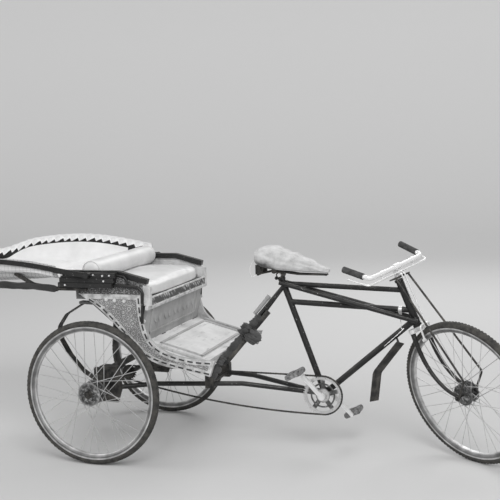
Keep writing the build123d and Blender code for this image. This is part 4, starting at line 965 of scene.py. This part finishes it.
REAR_EDGE_Z = leg_height(-LINING_BACK, 0.044) + 0.018
bm = bmesh.new()
bmesh.ops.create_grid(bm, x_segments=84, y_segments=96, size=0.5)
for vert in bm.verts:
    along = 0.5 - vert.co.x
    side = 1 if vert.co.y > 0 else -1
    inwards, down = section_at(1 - 2 * abs(vert.co.y))
    y = LINING_HALF - inwards
    # the front edge lies on the back board, and stops behind the arm bars at the sides
    start = LINING_FRONT - 0.094 * eased(limited((y - 0.322) / 0.022))
    # the back corners are rounded as the bows are
    corner = max(0, CORNER - (LINING_HALF - y))
    back = LINING_BACK - CORNER + sqrt(CORNER**2 - corner**2)
    x = start + (-back - start) * along
    edge = leg_height(x, 0.0) + 0.008
    fall = limited((-x - 0.86) / 0.20)
    edge -= 0.042 * fall * fall
    belly_z = BELLY_Z + 0.034 * max(0, 1 - (-x + LINING_FRONT) / 0.20) ** 2 - 0.020 * fall
    rise = max(0, (-x - (back - 0.07)) / 0.07)
    belly_z += (REAR_EDGE_Z - belly_z) * rise * rise
    depth = max(0.010, edge - belly_z)
    left = y * side
    fold = rumple(x * 4.2, left * 3.0, 0.3) * 0.012
    fold += rumple(x * 13 + left * 6, left * 9 - x * 5, 2.0) * 0.0035
    for x0, y0, x1, y1, width, height in CREASES:
        run = Vector((x1 - x0, y1 - y0))
        share = limited(((x - x0) * run.x + (left - y0) * run.y) / run.length_squared)
        off = ((x - x0 - run.x * share) ** 2 + (left - y0 - run.y * share) ** 2) ** 0.5
        fold += height * (1 - 0.6 * share) / (1 + (off / width) ** 2)
    settled = limited(down) * (1 - rise) * min(1, (along + 0.02) * 12)
    vert.co = at(x, left, edge - depth * down + fold * settled)
lining = piece("lining", bm, LINING_CHECK, None)
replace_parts(lining, "hood_back_panel")
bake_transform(lining)

# Dark cloth rolled round the rest rail on each side
for side, label in ((-1, "right"), (1, "left")):
    bm = bmesh.new()
    drum(bm, 20, 0.017, 0.52)
    lengthways = [edge for edge in bm.edges if abs(edge.verts[0].co.z - edge.verts[1].co.z) > 0.1]
    bmesh.ops.subdivide_edges(bm, edges=lengthways, cuts=60)
    for vert in bm.verts:
        lump = rumple(vert.co.z * 16, vert.co.x * 40, vert.co.y * 40 + side)
        swell = 1 + 0.35 * lump - 0.25 * (abs(vert.co.z) > 0.25)
        x = -0.46 - vert.co.z
        # the roll follows the bends of the rest rail
        z = 0.8526 + limited((-x - 0.205) / 0.135) * 0.010 + max(0, (-x - 0.34) / 0.4) * 0.006
        vert.co = at(x, side * 0.396 + vert.co.x * swell, z + vert.co.y * swell)
    roll = piece(f"cloth_roll_{label}", bm, DARK_CLOTH_AND_SHADOW, "frame")


def smooth_path(points, per):
    """Points on a smooth line through the given ones."""
    line = []
    for index in range(len(points) - 1):
        p0 = points[max(index - 1, 0)]
        p1, p2 = points[index], points[index + 1]
        p3 = points[min(index + 2, len(points) - 1)]
        for step in range(per):
            t = step / per
            square = 2 * p0 - 5 * p1 + 4 * p2 - p3
            cube = 3 * p1 - p0 - 3 * p2 + p3
            line.append(0.5 * (2 * p1 + (p2 - p0) * t + square * t**2 + cube * t**3))
    return line + [points[-1]]


def spaced(line, gap):
    """Places at equal gaps along a line, each with the line's direction there."""
    spots = []
    left = gap / 2
    for start, end in zip(line, line[1:]):
        span = end - start
        while left <= span.length:
            spots.append((start + span * (left / span.length), span.normalized()))
            left += gap
        left -= span.length
    return spots


def tilted(ahead):
    """The turn about Y that takes the X axis to a direction in side view."""
    return Matrix.Rotation(-atan2(ahead.z, ahead.x), 3, "Y")


# Dark dashes on the panels' light borders
DASH_LINES = (
    # ahead of the axle and up: first along the lower border, then along the upper one
    (
        (-0.045, 0.8045), (0.028, 0.7605), (0.1195, 0.6725), (0.208, 0.581), (0.273, 0.5265),
        (0.3975, 0.488), (0.576, 0.4555),
    ),
    (
        (0.5935, 0.5065), (0.477, 0.512), (0.3465, 0.545), (0.2735, 0.600), (0.238, 0.6885),
        (0.229, 0.760), (0.2265, 0.810),
    ),
)
DASH_SIZE = (0.028, 0.0008, 0.0075)
DASH_GAP = 0.044
DASH_PAINT = worn_paint("dash_paint", 0.035, 0.12, 0.5)
for side, label in ((-1, "right"), (1, "left")):
    bm = bmesh.new()
    for points in DASH_LINES:
        line = smooth_path([at(x, side * (BODY_HALF + BORDER_T + 0.0004), z) for x, z in points], 12)
        for spot, ahead in spaced(line, DASH_GAP):
            put(bm, block(bm), spot, DASH_SIZE, tilted(ahead))
    piece(f"border_dashes_{label}", bm, DASH_PAINT, "frame", smooth=False)

# Chain links: pairs of long plates on rollers


def chain_line():
    """The chain's closed middle line, from the sprocket's top forward and back below."""
    small, large = at(0, CHAIN_Y, TYRE_R), CRANK
    span = large - small
    slope = atan2(span.z, span.x)
    tip = asin((RING_R - SPROCKET_R) / span.length)
    up, down = slope + pi / 2 + tip, slope - pi / 2 - tip
    line = [small + Vector((cos(up), 0, sin(up))) * SPROCKET_R]
    for step in range(25):
        angle = up + (down - up) * step / 24
        line.append(large + Vector((cos(angle), 0, sin(angle))) * RING_R)
    low = [line[-1], small + Vector((cos(down), 0, sin(down))) * SPROCKET_R]
    for step in range(1, 24):
        share = step / 24
        line.append(low[0] + (low[1] - low[0]) * share - UP * (CHAIN_SAG * 4 * share * (1 - share)))
    for step in range(17):
        angle = down - (2 * pi - (up - down)) * step / 16
        line.append(small + Vector((cos(angle), 0, sin(angle))) * SPROCKET_R)
    return line


SIDEWAYS = Matrix.Rotation(radians(90), 3, "X")
PLATE_STRETCH = (2.3, 1, 1)
bm = bmesh.new()
for index, (spot, ahead) in enumerate(spaced(chain_line(), CHAIN_PITCH)):
    spread = 0.0031 if index % 2 else 0.0021
    for side in (-1, 1):
        plate = drum(bm, 10, 0.0042, 0.0009)
        put(bm, plate, (0, side * spread, 0), PLATE_STRETCH, SIDEWAYS)
        put(bm, plate, spot, turned=tilted(ahead))
    put(bm, drum(bm, 8, 0.0034, 0.0045), spot + ahead * CHAIN_PITCH / 2, turned=SIDEWAYS)
links = piece("chain_links", bm, DARK_IRON, "frame", smooth=False)
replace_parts(links, "chain")


# Bolts and small fittings


def bolt(bm, spot, axis, radius, height, sides=6):
    """A bolt head standing on a face."""
    sunk = 0.0003
    aim = UP.rotation_difference(axis).to_matrix()
    put(bm, drum(bm, sides, radius, height, 0.9), spot + axis * (height / 2 - sunk), turned=aim)


BLOCK_BOLTS = (
    (-0.165, 0.924), (-0.105, 0.926), (0.005, 0.926), (0.055, 0.922), (0.092, 0.924),
    (-0.150, 0.874), (0.060, 0.896),
)
PANEL_BOLTS = ((0.10, 0.798), (0.15, 0.796), (0.055, 0.802), (0.252, 0.70))
bm = bmesh.new()
for side in (-1, 1):
    for x, z in BLOCK_BOLTS:
        bolt(bm, at(x, side * BLOCK_OUT, z), TO_LEFT * side, 0.005, 0.004, 10)
    for x, z in PANEL_BOLTS:
        bolt(bm, at(x, side * (BODY_HALF + 0.0005), z), TO_LEFT * side, 0.009, 0.005, 12)
piece("body_bolts", bm, BRIGHT_STEEL, "frame", smooth=False)

# Mouldings: a frame round the floor's raised panel, strips at its sides, and petals framed on the riser
FLOOR_RUN, FLOOR_FALL = 0.312, 0.084
FLOOR_DIR = Vector((FLOOR_RUN, 0, -FLOOR_FALL)).normalized()
FLOOR_UP = Vector((-FLOOR_DIR.z, 0, FLOOR_DIR.x))
FLOOR_LEN = sqrt(FLOOR_RUN**2 + FLOOR_FALL**2)
FLOOR_START = at(0.240, 0, 0.588)
INNER_HALF = 0.3618
RISER_DIR = Vector((-0.034, 0, -0.2054)).normalized()
RISER_OUT = Vector((-RISER_DIR.z, 0, RISER_DIR.x))
RISER_START = at(0.270, 0, 0.7954)


def strip(bm, start, end, up, width, height):
    """A moulding between two points on a face, with its upper edges bevelled."""
    along = (end - start).normalized()
    across = up.cross(along)
    made = block(bm)
    size = Matrix.Diagonal(((end - start).length, width, height, 1))
    turned = Matrix((along, across, up)).transposed().to_4x4()
    place_on = Matrix.Translation((start + end) / 2 + up * height / 2) @ turned @ size
    edges = [
        edge for edge in {edge for vert in made for edge in vert.link_edges}
        if all(vert.co.z > 0 for vert in edge.verts) and abs(edge.verts[0].co.x - edge.verts[1].co.x) > 0.5
    ]
    bmesh.ops.transform(bm, matrix=place_on, verts=made)
    bmesh.ops.bevel(
        bm, geom=edges, offset=height * 0.35, offset_type="OFFSET", segments=3, profile=0.5,
        affect="EDGES", material=-1,
    )


def frame_of_strips(bm, origin, along, across, up, box, width, height):
    """Four mouldings round a rectangle on a face: box is its two corners along and across."""
    (a0, c0), (a1, c1) = box
    corners = [origin + along * a + across * c for a, c in ((a0, c0), (a1, c0), (a1, c1), (a0, c1))]
    for start, end in zip(corners, corners[1:] + corners[:1]):
        grow = (end - start).normalized() * width / 2
        strip(bm, start - grow, end + grow, up, width, height)


bm = bmesh.new()
PANEL_T = 0.0062
middle = FLOOR_LEN / 2 + 0.008
box_half = (FLOOR_LEN - 0.093) / 2 - 0.007
box_side = INNER_HALF - 0.069
panel_box = ((middle - box_half, -box_side), (middle + box_half, box_side))
frame_of_strips(bm, FLOOR_START + FLOOR_UP * PANEL_T, FLOOR_DIR, TO_LEFT, FLOOR_UP, panel_box, 0.014, 0.005)
for side in (-1, 1):
    edge_y = TO_LEFT * side * (INNER_HALF - 0.012)
    begin = FLOOR_START + FLOOR_DIR * 0.022 + edge_y
    strip(bm, begin, begin + FLOOR_DIR * (FLOOR_LEN - 0.03), FLOOR_UP, 0.020, 0.010)
piece("floor_mouldings", bm, MOULDING_PAINT, "frame", smooth=False)

bm = bmesh.new()
riser_box = ((0.040, -0.300), (0.170, 0.300))
frame_of_strips(bm, RISER_START, RISER_DIR, TO_LEFT, RISER_OUT, riser_box, 0.012, 0.004)
for index in range(-4, 5):
    spot = RISER_START + RISER_DIR * 0.105 + TO_LEFT * index * 0.062
    petal = bmesh.ops.create_uvsphere(bm, u_segments=12, v_segments=8, radius=1)["verts"]
    put(bm, petal, spot, (0.004, 0.016, 0.030), Matrix.Rotation(radians(30 * (-1) ** index), 3, "X"))
piece("riser_relief", bm, RISER_PAINT, "frame", smooth=False)

# Rags bound round the right stay, with a light tube lashed above it
SEAT_TOP = seat_line(0.575, -0.007)
STAY_FOOT = at(0.493, -0.121, 0.3985)
STAY_DIR = (STAY_FOOT - SEAT_TOP).normalized()
STAY_UP = TO_LEFT.cross(STAY_DIR).normalized()
RAGS = (
    # from and to along the stay, radius, aside of it, lumpiness
    (0.190, 0.270, 0.021, 0.006, 0.5),
    (0.262, 0.330, 0.026, -0.010, 0.6),
    (0.330, 0.470, 0.0205, 0.004, 0.35),
    (0.462, 0.520, 0.027, -0.004, 0.55),
    (0.258, 0.336, 0.033, 0.046, 0.45),
    (0.520, 0.600, 0.023, 0.010, 0.5),
)
STAY_R = 0.0102
RAG_ROWS = 22
bm = bmesh.new()
for index, (begin, end, radius, aside, lumps) in enumerate(RAGS):
    outline = [(STAY_R, 0.0)]
    for step in range(RAG_ROWS + 1):
        share = step / RAG_ROWS
        bulge = min(1, 5 * share, 5 * (1 - share)) ** 0.5
        outline.append((STAY_R + 0.0002 + (radius - STAY_R - 0.0002) * bulge, (end - begin) * share))
    outline.append((STAY_R, end - begin))
    start = SEAT_TOP + STAY_DIR * begin
    for vert in lathe(bm, outline, along_line(start, start + STAY_DIR), 26):
        run = (vert.co - SEAT_TOP).dot(STAY_DIR)
        out = vert.co - SEAT_TOP - STAY_DIR * run
        loose = out.length - STAY_R - 0.0004
        if loose > 0:
            lump = rumple(run * 60 + index, out.x * 60, out.z * 60)
            twist = sin(run * 520 + atan2(out.dot(STAY_UP), out.y) * 2) * 0.07
            vert.co += out * (lumps * lump + twist) - STAY_UP * aside * min(1, loose * 80)
rags = piece("stay_rags", bm, RAG_CLOTH, "frame")

TUBE_OUTLINE = (
    (0.0, 0.0), (0.0100, 0.0), (0.0100, 0.098), (0.0118, 0.099), (0.0118, 0.117), (0.0090, 0.118),
    (0.0, 0.118),
)
bm = bmesh.new()
tube_foot = SEAT_TOP + STAY_DIR * 0.205 + STAY_UP * 0.0225
lathe(bm, TUBE_OUTLINE, along_line(tube_foot, tube_foot - STAY_DIR), 22)
piece("lashed_tube", bm, GREY_TUBE, "frame", smooth=False)

# A band clamp on the middle tube, with a thin wire down to the mud flap
MIDDLE_HEAD = steered(HEAD_LOW + 0.083, 0)
MIDDLE_DIR = (MIDDLE_HEAD - seat_line(0.488)).normalized()
BAND_OUTLINE = (
    (0.0141, 0.0), (0.0165, 0.0), (0.0172, 0.002), (0.0172, 0.015), (0.0165, 0.017), (0.0141, 0.017),
    (0.0141, 0.0),
)
band_foot = MIDDLE_HEAD - MIDDLE_DIR * 0.062
bm = bmesh.new()
lathe(bm, BAND_OUTLINE, along_line(band_foot, MIDDLE_HEAD), 26)
put(bm, block(bm), band_foot + MIDDLE_DIR * 0.0085 - UP * 0.023, (0.014, 0.010, 0.016))
piece("band_clamp", bm, BRIGHT_STEEL, "frame", smooth=False)


def thin_rod(bm, points, radius):
    """A round wire through the points."""
    tip = radius * 0.5
    for start, end in zip(points, points[1:]):
        far = (end - start).length
        outline = ((0.0, -tip), (radius, 0.0), (radius, far), (0.0, far + tip))
        lathe(bm, outline, along_line(start, end), 8)


bm = bmesh.new()
down_top = steered(HEAD_LOW + 0.036, 0)
down_dir = (down_top - seat_line(0)).normalized()
ear_foot = band_foot + MIDDLE_DIR * 0.010 + Vector((0, -0.010, -0.030))
wire = (
    ear_foot,
    ear_foot + Vector((0.004, -0.004, -0.060)),
    down_top - down_dir * 0.075 + Vector((0, -0.0175, 0)),
    down_top - down_dir * 0.200 + Vector((0.004, -0.0175, -0.004)),
)
thin_rod(bm, smooth_path(wire, 6), 0.0022)
piece("clamp_wire", bm, BRIGHT_STEEL, "frame")

# The seat clamp's barrel under the saddle, with a bright nut at each end
CLAMP_HALF = 0.031
CLAMP_SPOT = at(0.834, 0, 0.886)
BARREL = ((0.0, 0.0), (0.016, 0.0), (0.0185, 0.003), (0.0185, 0.059), (0.016, 0.062), (0.0, 0.062))
bm = bmesh.new()
clamp_foot = CLAMP_SPOT - TO_LEFT * CLAMP_HALF
lathe(bm, BARREL, along_line(clamp_foot, CLAMP_SPOT), 20)
piece("seat_clamp", bm, DARK_IRON, "frame", smooth=False)
bm = bmesh.new()
for side in (-1, 1):
    bolt(bm, CLAMP_SPOT + TO_LEFT * CLAMP_HALF * side, TO_LEFT * side, 0.0105, 0.010)
piece("seat_nuts", bm, BAR_STEEL, "frame", smooth=False)

# A loose string behind the saddle
STRING = (
    (-0.094, -0.052, 0.012), (-0.112, -0.055, -0.012), (-0.116, -0.056, -0.046),
    (-0.106, -0.053, -0.072), (-0.086, -0.050, -0.060),
)
bm = bmesh.new()
thin_rod(bm, smooth_path([SADDLE + Vector(spot) for spot in STRING], 6), 0.0014)
piece("saddle_string", bm, LINING, "frame")

# Camera, at the photograph's viewing angle
CAMERA_SPOT = at(2.145, -4.45, 1.524)
LENS = 67.49
yaw, pitch, tip = radians(18.29), radians(6.31), radians(-1.64)
level = Vector((-sin(yaw), cos(yaw), 0))
forward = level * cos(pitch) - UP * sin(pitch)
upright = UP * cos(pitch) + level * sin(pitch)
right = Vector((cos(yaw), sin(yaw), 0))
view_right = right * cos(tip) + upright * sin(tip)
view_up = upright * cos(tip) - right * sin(tip)
camera_data = bpy.data.cameras.new("camera")
camera = bpy.data.objects.new("camera", camera_data)
bpy.context.scene.collection.objects.link(camera)
camera_data.lens = LENS
camera_data.sensor_width = 36
turned = Matrix((view_right, view_up, -forward)).transposed().to_4x4()
camera.matrix_world = Matrix.Translation(CAMERA_SPOT) @ turned
bpy.context.scene.camera = camera

# The floor runs back and curves up into the backdrop
bm = bmesh.new()
bmesh.ops.create_grid(bm, x_segments=1, y_segments=1, size=14)
far_edge = [edge for edge in bm.edges if all(vert.co.y > 13 for vert in edge.verts)]
wall = bmesh.ops.extrude_edge_only(bm, edges=far_edge)["geom"]
wall_top = [part for part in wall if isinstance(part, bmesh.types.BMVert)]
bmesh.ops.translate(bm, vec=(0, 0, 12), verts=wall_top)
bmesh.ops.bevel(
    bm, geom=far_edge, offset=6, offset_type="OFFSET", segments=24, profile=0.5, affect="EDGES", material=-1
)


def backdrop_finish():
    """Pale grey, lifted towards the top of the backdrop for the camera alone, so that it looks even."""
    material, tree, shader = new_finish("backdrop", 0.60, 0.9)
    path = tree.nodes.new("ShaderNodeLightPath")
    shader.inputs["Emission Color"].default_value = (1, 1, 1, 1)
    run = sums(tree, "MULTIPLY", sums(tree, "ADD", axes(tree)["Y"], -1.0), 0.08)
    far = steps(tree, run, (0.0, 0.0), (1.0, 0.26))
    lift = sums(tree, "MULTIPLY", far, path.outputs["Is Camera Ray"])
    tree.links.new(lift, shader.inputs["Emission Strength"])
    return material


floor = piece("studio_floor", bm, backdrop_finish(), None)

world = bpy.data.worlds.new("studio")
bpy.context.scene.world = world
world.use_nodes = True
world.node_tree.nodes["Background"].inputs["Color"].default_value = (0.9, 0.9, 0.9, 1)
world.node_tree.nodes["Background"].inputs["Strength"].default_value = 0.55

LAMPS = (
    # name, place, size, watts
    ("key", (2.5, -4.5, 5.0), 4.0, 260),
    ("fill", (-5.0, -2.5, 4.0), 4.0, 90),
    ("back", (1.0, 5.0, 5.0), 4.0, 140),
)
for name, spot, size, watts in LAMPS:
    lamp = bpy.data.lights.new(name, "AREA")
    lamp.size = size
    lamp.energy = watts
    holder = bpy.data.objects.new(name, lamp)
    holder.location = spot
    holder.rotation_euler = (Vector((0, 0, 0.5)) - Vector(spot)).to_track_quat("-Z", "Y").to_euler()
    bpy.context.scene.collection.objects.link(holder)

bpy.context.scene.view_settings.view_transform = "Standard"
